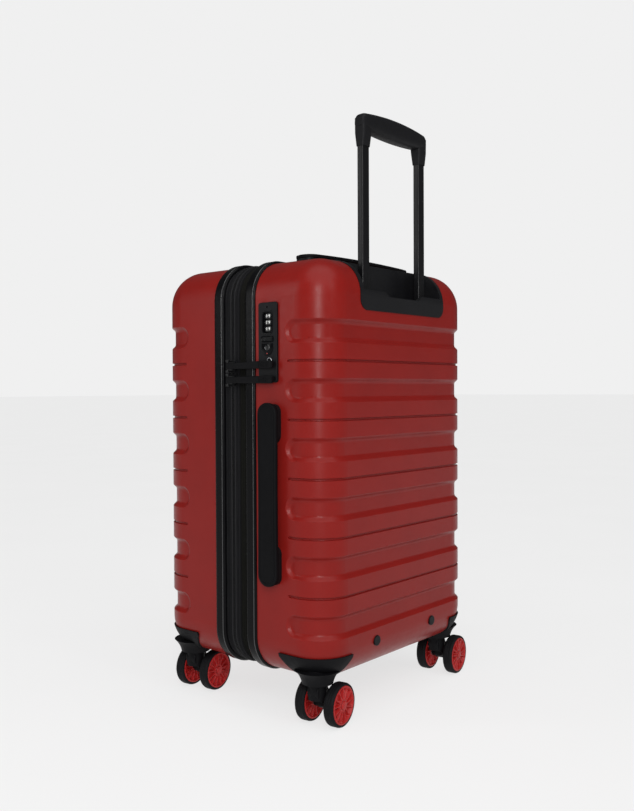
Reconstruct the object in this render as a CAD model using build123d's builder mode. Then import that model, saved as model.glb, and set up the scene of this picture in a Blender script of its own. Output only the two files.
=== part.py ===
"""Hard shell cabin suitcase on four twin-wheel casters, with a telescopic handle.

Millimetres, +Z up, origin on the floor under the middle of the case.
+X is the side with the lock and the side handle, +Y is the back, where the telescopic handle is.
"""
import os

from build123d import *

os.makedirs("parts", exist_ok=True)

# ---- driving dimensions -------------------------------------------------------------------------
CASE_WIDTH = 324  # X, over the shells
CASE_DEPTH = 286  # Y, over both shells
CASE_BOTTOM = 56  # height of the shells' underside above the floor
CASE_TOP = 561
CORNER_R = 47  # corners of the case seen from the front
EDGE_R = 44  # edges round the front and back faces
WALL = 2.8

# the black band between the shells, from front to back
BAND_FRONT = -34
BAND_BACK = 37
TRIM_DEPTH = 17
TRIM_PROUD = 3
TRIM_INSIDE = 6
SHELL_IN_TRIM = 10  # how far a shell's rim reaches into its trim
CHAIN_Y = -3  # middle of the main zip
CHAIN_GAP = 1.8  # between the two rows of teeth
CHAIN_ROW = 2.3
TAPE_RECESS = 1.2  # the tapes lie below the shells' surface
TAPE_THICKNESS = 2
EXPANDER_BACK = 8  # back edge of the tape behind the main zip

# the pressed pattern of the shells
PITCH = 69.5  # from one narrow groove to the next
FIRST_GROOVE_Z = 159.4
NARROW_COUNT = 5
WIDE_COUNT = 6
WIDE_MOUTH = 31
WIDE_FLOOR = 15
WIDE_DEPTH = 4.4
NARROW_MOUTH = 4.4
NARROW_FLOOR = 1.2
NARROW_DEPTH = 2.4
WIDE_END_Y = 98  # centre of the round end on the side faces
NARROW_END_Y = 89

# casters
SWIVEL_X = 132
SWIVEL_Y = 107
TRAIL = 15.7
CASTER_TURN = 6.5  # degrees that the casters are turned from straight
WHEEL_R = 26.3
WHEEL_WIDTH = 16
WHEEL_GAP = 24.8  # between the two wheels of a caster
HUB_R = 22.9
AXLE_R = 3
KINGPIN_R = 5
RUNNING_CLEARANCE = 0.05
HOUSING_THICK = 2.2
HOUSING_TOP = 89
HOUSING_REACH_X = 53  # length of a housing along the front or back face
HOUSING_REACH_Y = 72  # length of a housing along a side face
HOUSING_BOTTOM = 53.8
SOCKET_R = 19  # boss of a housing, which passes through the shell
SOCKET_POCKET_R = 16.2  # the fork's flange turns in it
SOCKET_POCKET_TOP = 57.3
BOSS_TOP = 76

# telescopic handle
TUBE_X = 61.5
TUBE_Y = 125
INNER_TUBE = (14, 9)
TUBE_WALL = 1.2
TUBE_CLEARANCE = 0.35
GRIP_TOP = 746
GRIP_BAR_HEIGHT = 25
GRIP_HALF = 80
SOCKET_BOTTOM = 702
TRAY_HALF = 92
TRAY_BOTTOM = 499
TRAY_FRONT = 98
TRAY_PROUD = 1
TRAY_WALL = 7
TRAY_FLOOR = 505
TRAY_LIP = 524
TRAY_LIP_MIDDLE = 518

# lock
LOCK_Y = 59
LOCK_WIDTH = 30
LOCK_LOW = 412
LOCK_HIGH = 508
LOCK_PROUD = 3.2
DIAL_R = 5.6
DIAL_WIDTH = 6.4
DIAL_PITCH = 7.7
DIAL_Z = 483.6

# carry handles
STRAP_LENGTH = 219
STRAP_WIDTH = 30
STRAP_THICK = 6.5
STRAP_GAP = 6  # under the strap
SIDE_HANDLE_Y = 64
SIDE_HANDLE_Z = 278.5
TOP_HANDLE_Y = 64
MOUNT_LENGTH = 50
POST_R = 4

# ---- values worked out from them ----------------------------------------------------------------
HALF_W = CASE_WIDTH / 2
HALF_D = CASE_DEPTH / 2
MID_Z = (CASE_TOP + CASE_BOTTOM) / 2
CASE_HEIGHT = CASE_TOP - CASE_BOTTOM
RIM_BACK = BAND_BACK - SHELL_IN_TRIM
RIM_FRONT = BAND_FRONT + SHELL_IN_TRIM
LINING_OUT = WALL + WIDE_DEPTH + 1.4  # outside of the lining, below the shell's surface
LINING_THICK = 1.2
NARROW_Z = [FIRST_GROOVE_Z + PITCH * i for i in range(NARROW_COUNT)]
WIDE_Z = [FIRST_GROOVE_Z + PITCH * (i - 0.5) for i in range(WIDE_COUNT)]
CORNERS = {
    "back_right": (SWIVEL_X, SWIVEL_Y),
    "back_left": (-SWIVEL_X, SWIVEL_Y),
    "front_right": (SWIVEL_X, -SWIVEL_Y),
    "front_left": (-SWIVEL_X, -SWIVEL_Y),
}


def finish(builder, name):
    """Label a finished sub-part and write its STEP file."""
    builder.part.label = name
    export_step(builder.part, f"parts/{name}.step")


# ---- shared shapes ------------------------------------------------------------------------------
def at_y(y):
    """Sketch plane square to Y, with sketch x along X and sketch y along Z."""
    return Plane.XZ.offset(-y)


def case_half(grow, rim, side):
    """Half of the case's smooth outer form, grown by a distance; side is +1 for the back."""
    with BuildPart() as half:
        with BuildSketch(at_y(rim)):
            with Locations((0, MID_Z)):
                RectangleRounded(CASE_WIDTH + 2 * grow, CASE_HEIGHT + 2 * grow, CORNER_R + grow)
        extrude(amount=HALF_D + grow - abs(rim), dir=(0, side, 0))
        end_face = half.faces().sort_by(Axis.Y)[-1 if side > 0 else 0]
        fillet(end_face.edges(), EDGE_R + grow)
    return half.part


def band_ring(outer, inner, y0, y1, round_edge=0.0):
    """Frame that follows the case's section, between two distances from its surface."""
    with BuildPart() as ring:
        with BuildSketch(at_y(y0)):
            with Locations((0, MID_Z)):
                RectangleRounded(CASE_WIDTH + 2 * outer, CASE_HEIGHT + 2 * outer, CORNER_R + outer)
        extrude(amount=y1 - y0, dir=(0, 1, 0))
        if round_edge:
            fillet(ring.faces().filter_by(Axis.Y).edges(), round_edge)
        with BuildSketch(at_y(y0)):
            with Locations((0, MID_Z)):
                RectangleRounded(CASE_WIDTH + 2 * inner, CASE_HEIGHT + 2 * inner, CORNER_R + inner)
        extrude(amount=y1 - y0, dir=(0, 1, 0), mode=Mode.SUBTRACT)
    return ring.part


def channel_profile(base, depth, mouth, floor, halved=False):
    """Section of a pressed channel: u outwards from the surface, v along the wall."""
    lead = 0.35
    with BuildSketch() as section:
        with BuildLine():
            low = Spline((base + lead, -mouth), (base - depth, -floor), tangents=((-0.1, 1), (0, 1)))
            bottom = Line(low @ 1, (base - depth, floor))
            high = Spline(bottom @ 1, (base + lead, mouth), tangents=((0, 1), (0.1, 1)))
            Polyline(high @ 1, (base + 3, mouth), (base + 3, -mouth), low @ 0)
        make_face()
        if halved:
            with Locations((0, -50)):
                Rectangle(100, 100, mode=Mode.SUBTRACT)
    return section.sketch


def channel_tool(base, depth, mouth, floor, end_y):
    """Cutter for a channel that runs along one side, across the back and along the other side."""
    start = Plane(origin=(HALF_W, end_y, 0), x_dir=(1, 0, 0), z_dir=(0, 1, 0))
    with BuildPart() as tool:
        with BuildLine():
            side = Line((HALF_W, end_y), (HALF_W, HALF_D - EDGE_R))
            turn = TangentArc(side @ 1, (HALF_W - EDGE_R, HALF_D), tangent=(0, 1))
            across = Line(turn @ 1, (EDGE_R - HALF_W, HALF_D))
            back_turn = TangentArc(across @ 1, (-HALF_W, HALF_D - EDGE_R), tangent=(-1, 0))
            Line(back_turn @ 1, (-HALF_W, end_y))
        with BuildSketch(start):
            add(channel_profile(base, depth, mouth, floor))
        sweep()
        # round end on each side face
        with BuildSketch(start):
            add(channel_profile(base, depth, mouth, floor, halved=True))
        cap = revolve(axis=Axis((HALF_W, end_y, 0), (-1, 0, 0)), revolution_arc=180)
        mirror(cap, about=Plane.YZ)
    return tool.part


def shell_solid():
    """The pressed back shell before its openings: a wall of even thickness with its channels."""
    wide = channel_tool(0, WIDE_DEPTH, WIDE_MOUTH / 2, WIDE_FLOOR / 2, WIDE_END_Y)
    narrow = channel_tool(0, NARROW_DEPTH, NARROW_MOUTH / 2, NARROW_FLOOR / 2, NARROW_END_Y)
    wide_in = channel_tool(-WALL, WIDE_DEPTH, WIDE_MOUTH / 2 + 1, WIDE_FLOOR / 2 + 1.4, WIDE_END_Y)
    narrow_in = channel_tool(-WALL, NARROW_DEPTH, NARROW_MOUTH / 2 + 1.2, NARROW_FLOOR / 2 + 1.4, NARROW_END_Y)
    with BuildPart() as cavity:
        add(case_half(-WALL, RIM_BACK, 1))
        with Locations(*[(0, 0, z) for z in WIDE_Z]):
            add(wide_in, mode=Mode.SUBTRACT)
        with Locations(*[(0, 0, z) for z in NARROW_Z]):
            add(narrow_in, mode=Mode.SUBTRACT)
    with BuildPart() as shell:
        add(case_half(0, RIM_BACK, 1))
        with Locations(*[(0, 0, z) for z in WIDE_Z]):
            add(wide, mode=Mode.SUBTRACT)
        with Locations(*[(0, 0, z) for z in NARROW_Z]):
            add(narrow, mode=Mode.SUBTRACT)
        add(cavity.part, mode=Mode.SUBTRACT)
    return shell.part


def slab(x0, x1, y0, y1, z0, z1, mode=Mode.ADD):
    """Box given by its limits."""
    with Locations(((x0 + x1) / 2, (y0 + y1) / 2, (z0 + z1) / 2)):
        Box(x1 - x0, y1 - y0, z1 - z0, mode=mode)


SMOOTH_BACK = case_half(0, RIM_BACK, 1)
PRESSED_SHELL = shell_solid()


# ---- openings cut in the shells -----------------------------------------------------------------
def tray_region(margin, low, front):
    """Block behind the tray's outline, with its rounded lower corners."""
    top = CASE_TOP + 20
    corner = 13 + margin
    with BuildPart() as region:
        with BuildSketch(at_y(front)):
            with Locations((0, (top + low) / 2)):
                Rectangle(2 * (TRAY_HALF + margin), top - low)
        extrude(amount=60, dir=(0, 1, 0))
        fillet(region.edges().filter_by(Axis.Y).group_by(Axis.Z)[0], corner)
    return region.part


with BuildPart() as back_shell:
    add(PRESSED_SHELL)
    add(tray_region(-2, TRAY_BOTTOM + 2, TRAY_FRONT + 2), mode=Mode.SUBTRACT)
    with Locations((SWIVEL_X, SWIVEL_Y, 60), (-SWIVEL_X, SWIVEL_Y, 60)):
        Cylinder(SOCKET_R, 40, mode=Mode.SUBTRACT)
    # lock case
    slab(HALF_W - 20, HALF_W + 5, LOCK_Y - 11, LOCK_Y + 11, LOCK_LOW + 28, LOCK_HIGH - 5, Mode.SUBTRACT)
    # sleeves of the carry handles
    with Locations(*[
        (HALF_W, SIDE_HANDLE_Y, SIDE_HANDLE_Z + s * (STRAP_LENGTH - MOUNT_LENGTH) / 2) for s in (-1, 1)
    ]):
        Cylinder(POST_R + 2.5, 30, rotation=(0, 90, 0), mode=Mode.SUBTRACT)
    with Locations(*[(s * (STRAP_LENGTH - MOUNT_LENGTH) / 2, TOP_HANDLE_Y, CASE_TOP) for s in (-1, 1)]):
        Cylinder(POST_R + 2.5, 30, mode=Mode.SUBTRACT)
    # screws of the tube bracket
    with Locations((TUBE_X, HALF_D, 95), (-TUBE_X, HALF_D, 95)):
        Cylinder(2.5, 20, rotation=(90, 0, 0), mode=Mode.SUBTRACT)
finish(back_shell, "back_shell")

with BuildPart() as front_shell:
    mirror(PRESSED_SHELL, about=Plane.XZ)
    # the front shell starts a little further back than the mirrored one
    with BuildSketch(at_y(RIM_FRONT)):
        with Locations((0, MID_Z)):
            RectangleRounded(CASE_WIDTH, CASE_HEIGHT, CORNER_R)
            RectangleRounded(CASE_WIDTH - 2 * WALL, CASE_HEIGHT - 2 * WALL, CORNER_R - WALL, mode=Mode.SUBTRACT)
    extrude(amount=RIM_BACK + RIM_FRONT, dir=(0, -1, 0))
    with Locations((SWIVEL_X, -SWIVEL_Y, 60), (-SWIVEL_X, -SWIVEL_Y, 60)):
        Cylinder(SOCKET_R, 40, mode=Mode.SUBTRACT)
finish(front_shell, "front_shell")


# ---- band between the shells --------------------------------------------------------------------
with BuildPart() as back_trim:
    add(band_ring(TRIM_PROUD, -TRIM_INSIDE, BAND_BACK - TRIM_DEPTH, BAND_BACK, 4))
    add(band_ring(0, -WALL, RIM_BACK, BAND_BACK), mode=Mode.SUBTRACT)
finish(back_trim, "back_trim")

with BuildPart() as front_trim:
    add(band_ring(TRIM_PROUD, -TRIM_INSIDE, BAND_FRONT, BAND_FRONT + TRIM_DEPTH, 4))
    add(band_ring(0, -WALL, BAND_FRONT, RIM_FRONT), mode=Mode.SUBTRACT)
finish(front_trim, "front_trim")

ROW_FRONT = CHAIN_Y - CHAIN_GAP / 2
ROW_BACK = CHAIN_Y + CHAIN_GAP / 2
TAPE_IN = TAPE_RECESS + TAPE_THICKNESS
with BuildPart() as front_zip_tape:
    add(band_ring(-TAPE_RECESS, -TAPE_IN, BAND_FRONT + TRIM_DEPTH, ROW_FRONT))
    add(band_ring(0.6, -TAPE_IN, ROW_FRONT - CHAIN_ROW, ROW_FRONT))
finish(front_zip_tape, "front_zip_tape")

with BuildPart() as back_zip_tape:
    add(band_ring(-TAPE_RECESS, -TAPE_IN, ROW_BACK, EXPANDER_BACK))
    add(band_ring(0.6, -TAPE_IN, ROW_BACK, ROW_BACK + CHAIN_ROW))
finish(back_zip_tape, "back_zip_tape")

with BuildPart() as expansion_gusset:
    add(band_ring(-TAPE_RECESS, -TAPE_IN - 4, EXPANDER_BACK + 0.3, BAND_BACK - TRIM_DEPTH))
finish(expansion_gusset, "expansion_gusset")

# strap of cloth inside the hinge side, which keeps the halves together
with BuildPart() as hinge_strip:
    hinge_x = -HALF_W + TAPE_IN + 0.3
    slab(hinge_x, hinge_x + 1.2, BAND_FRONT + TRIM_DEPTH + 1, BAND_BACK - TRIM_DEPTH - 12.5, 130, 490)
finish(hinge_strip, "hinge_strip")


# ---- linings ------------------------------------------------------------------------------------
def lining_form(inset, side, deep):
    """Space inside the lining, cut off at its flat floor and clear of the sockets and the tray."""
    with BuildPart() as form:
        add(case_half(-inset, BAND_BACK if side > 0 else -BAND_FRONT, 1))
        split(bisect_by=Plane.XZ.offset(-deep), keep=Keep.TOP)
        if side > 0:
            grow = inset - LINING_OUT
            slab(-TRAY_HALF - 3 - grow, TRAY_HALF + 3 + grow, TRAY_FRONT - 3 - grow, 200,
                 TRAY_BOTTOM - 6 - grow, CASE_TOP + 20, Mode.SUBTRACT)
    return form.part


LINING_FLOOR_BACK = TUBE_Y - 10.5
LINING_FLOOR_FRONT = HALF_D - LINING_OUT
for lining_name, lining_side, floor_y in (
    ("lining_back", 1, LINING_FLOOR_BACK),
    ("lining_front", -1, LINING_FLOOR_FRONT),
):
    with BuildPart() as lining:
        add(lining_form(LINING_OUT, lining_side, floor_y))
        add(lining_form(LINING_OUT + LINING_THICK, lining_side, floor_y - LINING_THICK), mode=Mode.SUBTRACT)
        with Locations((SWIVEL_X, SWIVEL_Y, 60), (-SWIVEL_X, SWIVEL_Y, 60)):
            Cylinder(SOCKET_R + 1, 40, mode=Mode.SUBTRACT)
        if lining_side < 0:
            mirror(about=Plane.XZ, mode=Mode.REPLACE)
    finish(lining, lining_name)


# ---- caster housings and kingpins ---------------------------------------------------------------
KINGPIN_TOP = 72
KINGPIN_HEAD_TOP = 39.7


def housing(side_x):
    """Corner shoe of one back caster with its socket; side_x is +1 for the lock side."""
    reach_x = HALF_W - HOUSING_REACH_X
    reach_y = HALF_D - HOUSING_REACH_Y
    with BuildPart() as shoe:
        add(case_half(HOUSING_THICK, RIM_BACK, 1))
        slab(-300, 300, -300, 300, HOUSING_TOP, 700, Mode.SUBTRACT)
        slab(-300, reach_x, -300, 300, -50, 700, Mode.SUBTRACT)
        slab(-300, 300, -300, reach_y, -50, 700, Mode.SUBTRACT)
        # slanted ends
        for reach, end_plane, into in ((reach_y, Plane.YZ, (1, 0, 0)), (reach_x, at_y(0), (0, 1, 0))):
            with BuildSketch(end_plane):
                with BuildLine():
                    Polyline((reach - 1, 40), (reach + 30, 40), (reach + 12, 66), (reach, HOUSING_TOP - 4),
                             (reach - 1, HOUSING_TOP - 4), close=True)
                make_face()
            extrude(amount=300, dir=into, mode=Mode.SUBTRACT)
        # bell under the case, down to the swivel
        with BuildSketch(Plane.XZ.offset(-SWIVEL_Y)):
            with BuildLine():
                foot = Line((SWIVEL_X, HOUSING_BOTTOM), (SWIVEL_X + SOCKET_R, HOUSING_BOTTOM))
                bell = Spline(foot @ 1, (SWIVEL_X + 28, CASE_BOTTOM + 14), tangents=((0.2, 1), (1, 0.9)))
                Polyline(bell @ 1, (SWIVEL_X, CASE_BOTTOM + 14), foot @ 0)
            make_face()
        revolve(axis=Axis((SWIVEL_X, SWIVEL_Y, 0), (0, 0, 1)))
        add(SMOOTH_BACK, mode=Mode.SUBTRACT)
        with Locations((SWIVEL_X, SWIVEL_Y, (HOUSING_BOTTOM + BOSS_TOP) / 2)):
            Cylinder(SOCKET_R, BOSS_TOP - HOUSING_BOTTOM)
            Cylinder(KINGPIN_R, 80, mode=Mode.SUBTRACT)
        with Locations((SWIVEL_X, SWIVEL_Y, SOCKET_POCKET_TOP)):
            Cylinder(SOCKET_POCKET_R, 20, align=(Align.CENTER, Align.CENTER, Align.MAX), mode=Mode.SUBTRACT)
        if side_x < 0:
            mirror(about=Plane.YZ, mode=Mode.REPLACE)
    return shoe.part


with BuildPart() as caster_housings_back:
    add(housing(1))
    add(housing(-1))
finish(caster_housings_back, "caster_housings_back")

with BuildPart() as caster_housings_front:
    mirror(caster_housings_back.part, about=Plane.XZ)
finish(caster_housings_front, "caster_housings_front")

for row, swivel_y in (("back", SWIVEL_Y), ("front", -SWIVEL_Y)):
    with BuildPart() as kingpins:
        with Locations((SWIVEL_X, swivel_y, KINGPIN_HEAD_TOP), (-SWIVEL_X, swivel_y, KINGPIN_HEAD_TOP)):
            Cylinder(KINGPIN_R, KINGPIN_TOP - KINGPIN_HEAD_TOP, align=(Align.CENTER, Align.CENTER, Align.MIN))
            Cylinder(7, 2.8, align=(Align.CENTER, Align.CENTER, Align.MAX))
    finish(kingpins, f"kingpins_{row}")


# ---- one caster, with its swivel axis on Z and its wheels trailing to -X ---------------------------
FORK_TOP = 57
FORK_FLANGE_LOW = 53.2
FORK_NECK_R = 11.6
FORK_HALF = 8
AXLE_BOSS_R = 8

with BuildPart() as fork_form:
    with BuildSketch(Plane.XZ):
        with Locations((0, 44)):
            Circle(FORK_NECK_R)
        with Locations((-TRAIL, WHEEL_R)):
            Circle(AXLE_BOSS_R)
        make_hull()
    extrude(amount=FORK_HALF, both=True)
    fillet(fork_form.edges().filter_by(GeomType.LINE, reverse=True).group_by(Axis.Y)[0], 2)
    fillet(fork_form.edges().filter_by(GeomType.LINE, reverse=True).group_by(Axis.Y)[-1], 2)
    with Locations((0, 0, 34)):
        Cylinder(FORK_NECK_R, FORK_FLANGE_LOW - 34, align=(Align.CENTER, Align.CENTER, Align.MIN))
    with Locations((0, 0, FORK_FLANGE_LOW)):
        Cylinder(15.6, FORK_TOP - FORK_FLANGE_LOW, align=(Align.CENTER, Align.CENTER, Align.MIN))
    with Locations((-TRAIL, 0, WHEEL_R)):
        Cylinder(AXLE_BOSS_R - 1, WHEEL_GAP - 0.6, rotation=(90, 0, 0))
        Cylinder(AXLE_R, WHEEL_GAP, rotation=(90, 0, 0), mode=Mode.SUBTRACT)
    Cylinder(KINGPIN_R + RUNNING_CLEARANCE, 120, mode=Mode.SUBTRACT)
    with Locations((0, 0, 40)):
        Cylinder(7.6, 20, align=(Align.CENTER, Align.CENTER, Align.MAX), mode=Mode.SUBTRACT)

WHEEL_IN = WHEEL_GAP / 2
WHEEL_OUT = WHEEL_IN + WHEEL_WIDTH
HEAD_POCKET = 2.6

with BuildPart() as axle_form:
    with Locations((-TRAIL, 0, WHEEL_R)):
        Cylinder(AXLE_R, 2 * (WHEEL_OUT - HEAD_POCKET + 0.3), rotation=(90, 0, 0))
        for end in (-1, 1):
            with Locations((0, end * (WHEEL_OUT - HEAD_POCKET + 1.1), 0)):
                Cylinder(4.6, 1.6, rotation=(90, 0, 0))

SPOKES = 12
with BuildPart() as hub_form:
    with BuildSketch(Plane.XZ.offset(-WHEEL_IN)):
        with Locations((-TRAIL, WHEEL_R)):
            Circle(HUB_R)
    extrude(amount=WHEEL_WIDTH, dir=(0, 1, 0))
    fillet(hub_form.edges().group_by(Axis.Y)[-1], 0.6)
    # slots between the spokes, pressed in from both faces
    for face_y, slot_dir in ((WHEEL_IN, 1), (WHEEL_OUT, -1)):
        with BuildSketch(Plane.XZ.offset(-face_y)):
            with Locations((-TRAIL, WHEEL_R)):
                with PolarLocations(13.6, SPOKES):
                    Trapezoid(10.4, 4.6, 83, rotation=90)
        extrude(amount=3.5, dir=(0, slot_dir, 0), mode=Mode.SUBTRACT)
    with Locations((-TRAIL, WHEEL_OUT, WHEEL_R)):
        Cylinder(5.4, 2 * HEAD_POCKET, rotation=(90, 0, 0), mode=Mode.SUBTRACT)
    with Locations((-TRAIL, WHEEL_OUT, WHEEL_R)):
        Cylinder(AXLE_R + RUNNING_CLEARANCE, 3 * WHEEL_WIDTH, rotation=(90, 0, 0), mode=Mode.SUBTRACT)

with BuildPart() as tyre_form:
    with BuildSketch(Plane.XZ.offset(-WHEEL_IN)):
        with Locations((-TRAIL, WHEEL_R)):
            Circle(WHEEL_R)
    extrude(amount=WHEEL_WIDTH, dir=(0, 1, 0))
    fillet(tyre_form.edges(), 2.6)
    with Locations((-TRAIL, WHEEL_OUT, WHEEL_R)):
        Cylinder(HUB_R, 3 * WHEEL_WIDTH, rotation=(90, 0, 0), mode=Mode.SUBTRACT)

for corner_name, (corner_x, corner_y) in CORNERS.items():
    place = Location((corner_x, corner_y, 0), (0, 0, CASTER_TURN))
    with BuildPart() as fork:
        with Locations(place):
            add(fork_form.part)
    finish(fork, f"fork_{corner_name}")
    with BuildPart() as axle:
        with Locations(place):
            add(axle_form.part)
    finish(axle, f"axle_{corner_name}")
    for which in ("outer", "inner"):
        as_drawn = (which == "outer") == (corner_y > 0)
        flip = Location((0, 0, 0)) if as_drawn else Location((0, 0, 2 * WHEEL_R), (180, 0, 0))
        with BuildPart() as hub:
            with Locations(place * flip):
                add(hub_form.part)
        finish(hub, f"hub_{corner_name}_{which}")
        with BuildPart() as tyre:
            with Locations(place * flip):
                add(tyre_form.part)
        finish(tyre, f"tyre_{corner_name}_{which}")


# ---- telescopic handle --------------------------------------------------------------------------
def tube_pair(size, wall, z0, z1):
    """Two upright tubes of oblong section."""
    with BuildPart() as pair:
        with BuildSketch(Plane.XY.offset(z0)):
            with Locations((TUBE_X, TUBE_Y), (-TUBE_X, TUBE_Y)):
                RectangleRounded(size[0], size[1], 1.8)
                RectangleRounded(size[0] - 2 * wall, size[1] - 2 * wall, 0.6, mode=Mode.SUBTRACT)
        extrude(amount=z1 - z0)
    return pair.part


def around(size, gap):
    """Section of a tube that slides round another one."""
    return (size[0] + 2 * (gap + TUBE_WALL), size[1] + 2 * (gap + TUBE_WALL))


MIDDLE_TUBE = around(INNER_TUBE, TUBE_CLEARANCE)
OUTER_TUBE = around(MIDDLE_TUBE, TUBE_CLEARANCE)
TUBE_FOOT = 100

with BuildPart() as outer_tubes:
    add(tube_pair(OUTER_TUBE, TUBE_WALL, TUBE_FOOT, TRAY_BOTTOM + 2))
finish(outer_tubes, "outer_tubes")
with BuildPart() as middle_tubes:
    add(tube_pair(MIDDLE_TUBE, TUBE_WALL, 216, TRAY_FLOOR + 2))
finish(middle_tubes, "middle_tubes")
with BuildPart() as inner_tubes:
    add(tube_pair(INNER_TUBE, TUBE_WALL, 441, SOCKET_BOTTOM + 14))
finish(inner_tubes, "inner_tubes")

BUTTON_HALF = 12
with BuildPart() as handle_grip:
    bar_low = GRIP_TOP - GRIP_BAR_HEIGHT
    with BuildSketch(Plane.XZ.offset(-TUBE_Y)) as side_view:
        with BuildLine():
            top_arc = ThreePointArc((-GRIP_HALF + 6, GRIP_TOP - 5), (0, GRIP_TOP), (GRIP_HALF - 6, GRIP_TOP - 5))
            right = Line((GRIP_HALF, bar_low + 10), (TUBE_X + 9.5, SOCKET_BOTTOM))
            Spline(top_arc @ 1, right @ 0, tangents=((1, -0.1), (-0.1, -1)))
            foot = Line(right @ 1, (TUBE_X - 9.5, SOCKET_BOTTOM))
            neck = Line(foot @ 1, (TUBE_X - 15, bar_low - 3))
            low_arc = ThreePointArc((TUBE_X - 22, bar_low + 2), (0, bar_low - 2), (22 - TUBE_X, bar_low + 2))
            Line(neck @ 1, low_arc @ 0)
            neck_left = Line((15 - TUBE_X, bar_low - 3), (9.5 - TUBE_X, SOCKET_BOTTOM))
            Line(low_arc @ 1, neck_left @ 0)
            foot_left = Line(neck_left @ 1, (-TUBE_X - 9.5, SOCKET_BOTTOM))
            left = Line(foot_left @ 1, (-GRIP_HALF, bar_low + 10))
            Spline(left @ 1, top_arc @ 0, tangents=((-0.1, 1), (1, 0.1)))
        make_face()
    extrude(amount=10.5, both=True)
    long_edges = handle_grip.faces().sort_by(Axis.Y)[0].edges() + handle_grip.faces().sort_by(Axis.Y)[-1].edges()
    fillet(long_edges, 4)
    slab(-BUTTON_HALF - 0.3, BUTTON_HALF + 0.3, TUBE_Y - 5.3, TUBE_Y + 5.3, GRIP_TOP - 9, GRIP_TOP + 5, Mode.SUBTRACT)
    with Locations((TUBE_X, TUBE_Y, 0), (-TUBE_X, TUBE_Y, 0)):
        Box(INNER_TUBE[0], INNER_TUBE[1], 2 * (SOCKET_BOTTOM + 14), mode=Mode.SUBTRACT)
finish(handle_grip, "handle_grip")

with BuildPart() as release_button:
    with BuildSketch(Plane.XY.offset(GRIP_TOP - 4.8)):
        with Locations((0, TUBE_Y)):
            RectangleRounded(2 * BUTTON_HALF, 10, 3)
    extrude(amount=5.2)
    fillet(release_button.faces().sort_by(Axis.Z)[-1].edges(), 1)
finish(release_button, "release_button")

with BuildPart() as handle_tray:
    add(case_half(TRAY_PROUD, RIM_BACK, 1))
    add(tray_region(0, TRAY_BOTTOM, TRAY_FRONT), mode=Mode.INTERSECT)
    # only the flange lies outside the shell
    with BuildPart(mode=Mode.PRIVATE) as kept_shell:
        add(SMOOTH_BACK)
        add(tray_region(-2, TRAY_BOTTOM + 2, TRAY_FRONT + 2), mode=Mode.SUBTRACT)
    add(kept_shell.part, mode=Mode.SUBTRACT)
    well = TRAY_HALF - TRAY_WALL
    well_front = TRAY_FRONT + 5
    lip_inside = HALF_D - 5
    slab(-well, well, well_front, lip_inside, TRAY_FLOOR, 700, Mode.SUBTRACT)
    slab(-well, well, lip_inside - 1, 200, TRAY_LIP, 700, Mode.SUBTRACT)
    with BuildSketch(at_y(lip_inside - 1)):
        with BuildLine():
            Polyline((-42, TRAY_LIP), (-32, TRAY_LIP_MIDDLE), (32, TRAY_LIP_MIDDLE), (42, TRAY_LIP),
                     (42, TRAY_LIP + 3), (-42, TRAY_LIP + 3), close=True)
        make_face()
    extrude(amount=60, dir=(0, 1, 0), mode=Mode.SUBTRACT)
    with Locations((TUBE_X, TUBE_Y, TRAY_FLOOR), (-TUBE_X, TUBE_Y, TRAY_FLOOR)):
        Box(MIDDLE_TUBE[0] + 2 * TUBE_CLEARANCE, MIDDLE_TUBE[1] + 2 * TUBE_CLEARANCE, 40, mode=Mode.SUBTRACT)
finish(handle_tray, "handle_tray")

BRACKET_LOW = 86
BRACKET_FRONT = TUBE_Y - 9
with BuildPart() as tube_bracket:
    slab(-TUBE_X - 16, TUBE_X + 16, BRACKET_FRONT, HALF_D - WALL - 2.9, BRACKET_LOW, TUBE_FOOT)
    slab(-TUBE_X + 16, TUBE_X - 16, BRACKET_FRONT + 3, TUBE_Y + 20, BRACKET_LOW - 1, TUBE_FOOT + 1, Mode.SUBTRACT)
    with Locations((TUBE_X, TUBE_Y, 95), (-TUBE_X, TUBE_Y, 95)):
        Cylinder(2.5, 60, rotation=(90, 0, 0), mode=Mode.SUBTRACT)
finish(tube_bracket, "tube_bracket")

CAP_R = 6.3
with BuildPart() as bracket_screws:
    for side in (-1, 1):
        with Locations((side * TUBE_X, HALF_D - 14, 95)):
            Cylinder(2.5, 28, rotation=(90, 0, 0))
        with Locations((side * TUBE_X, HALF_D + 0.5, 95)):
            Cylinder(CAP_R, 2.4, rotation=(90, 0, 0))
    fillet(bracket_screws.faces().filter_by(Axis.Y).group_by(Axis.Y)[-1].edges(), 0.8)
    add(back_shell.part, mode=Mode.SUBTRACT)
finish(bracket_screws, "bracket_screws")


# ---- lock ---------------------------------------------------------------------------------------
LOCK_FACE = HALF_W + LOCK_PROUD
LOCK_BACK = HALF_W - 8.2
LOCK_MID = (LOCK_LOW + LOCK_HIGH) / 2
DIAL_X = LOCK_FACE + 1 - DIAL_R
RELEASE_Z = 464
CYLINDER_Z = 454
CYLINDER_R = 3.8
WINDOW_LOW = DIAL_Z - 1.5 * DIAL_PITCH - 0.6
WINDOW_HIGH = DIAL_Z + 1.5 * DIAL_PITCH + 0.6

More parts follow.
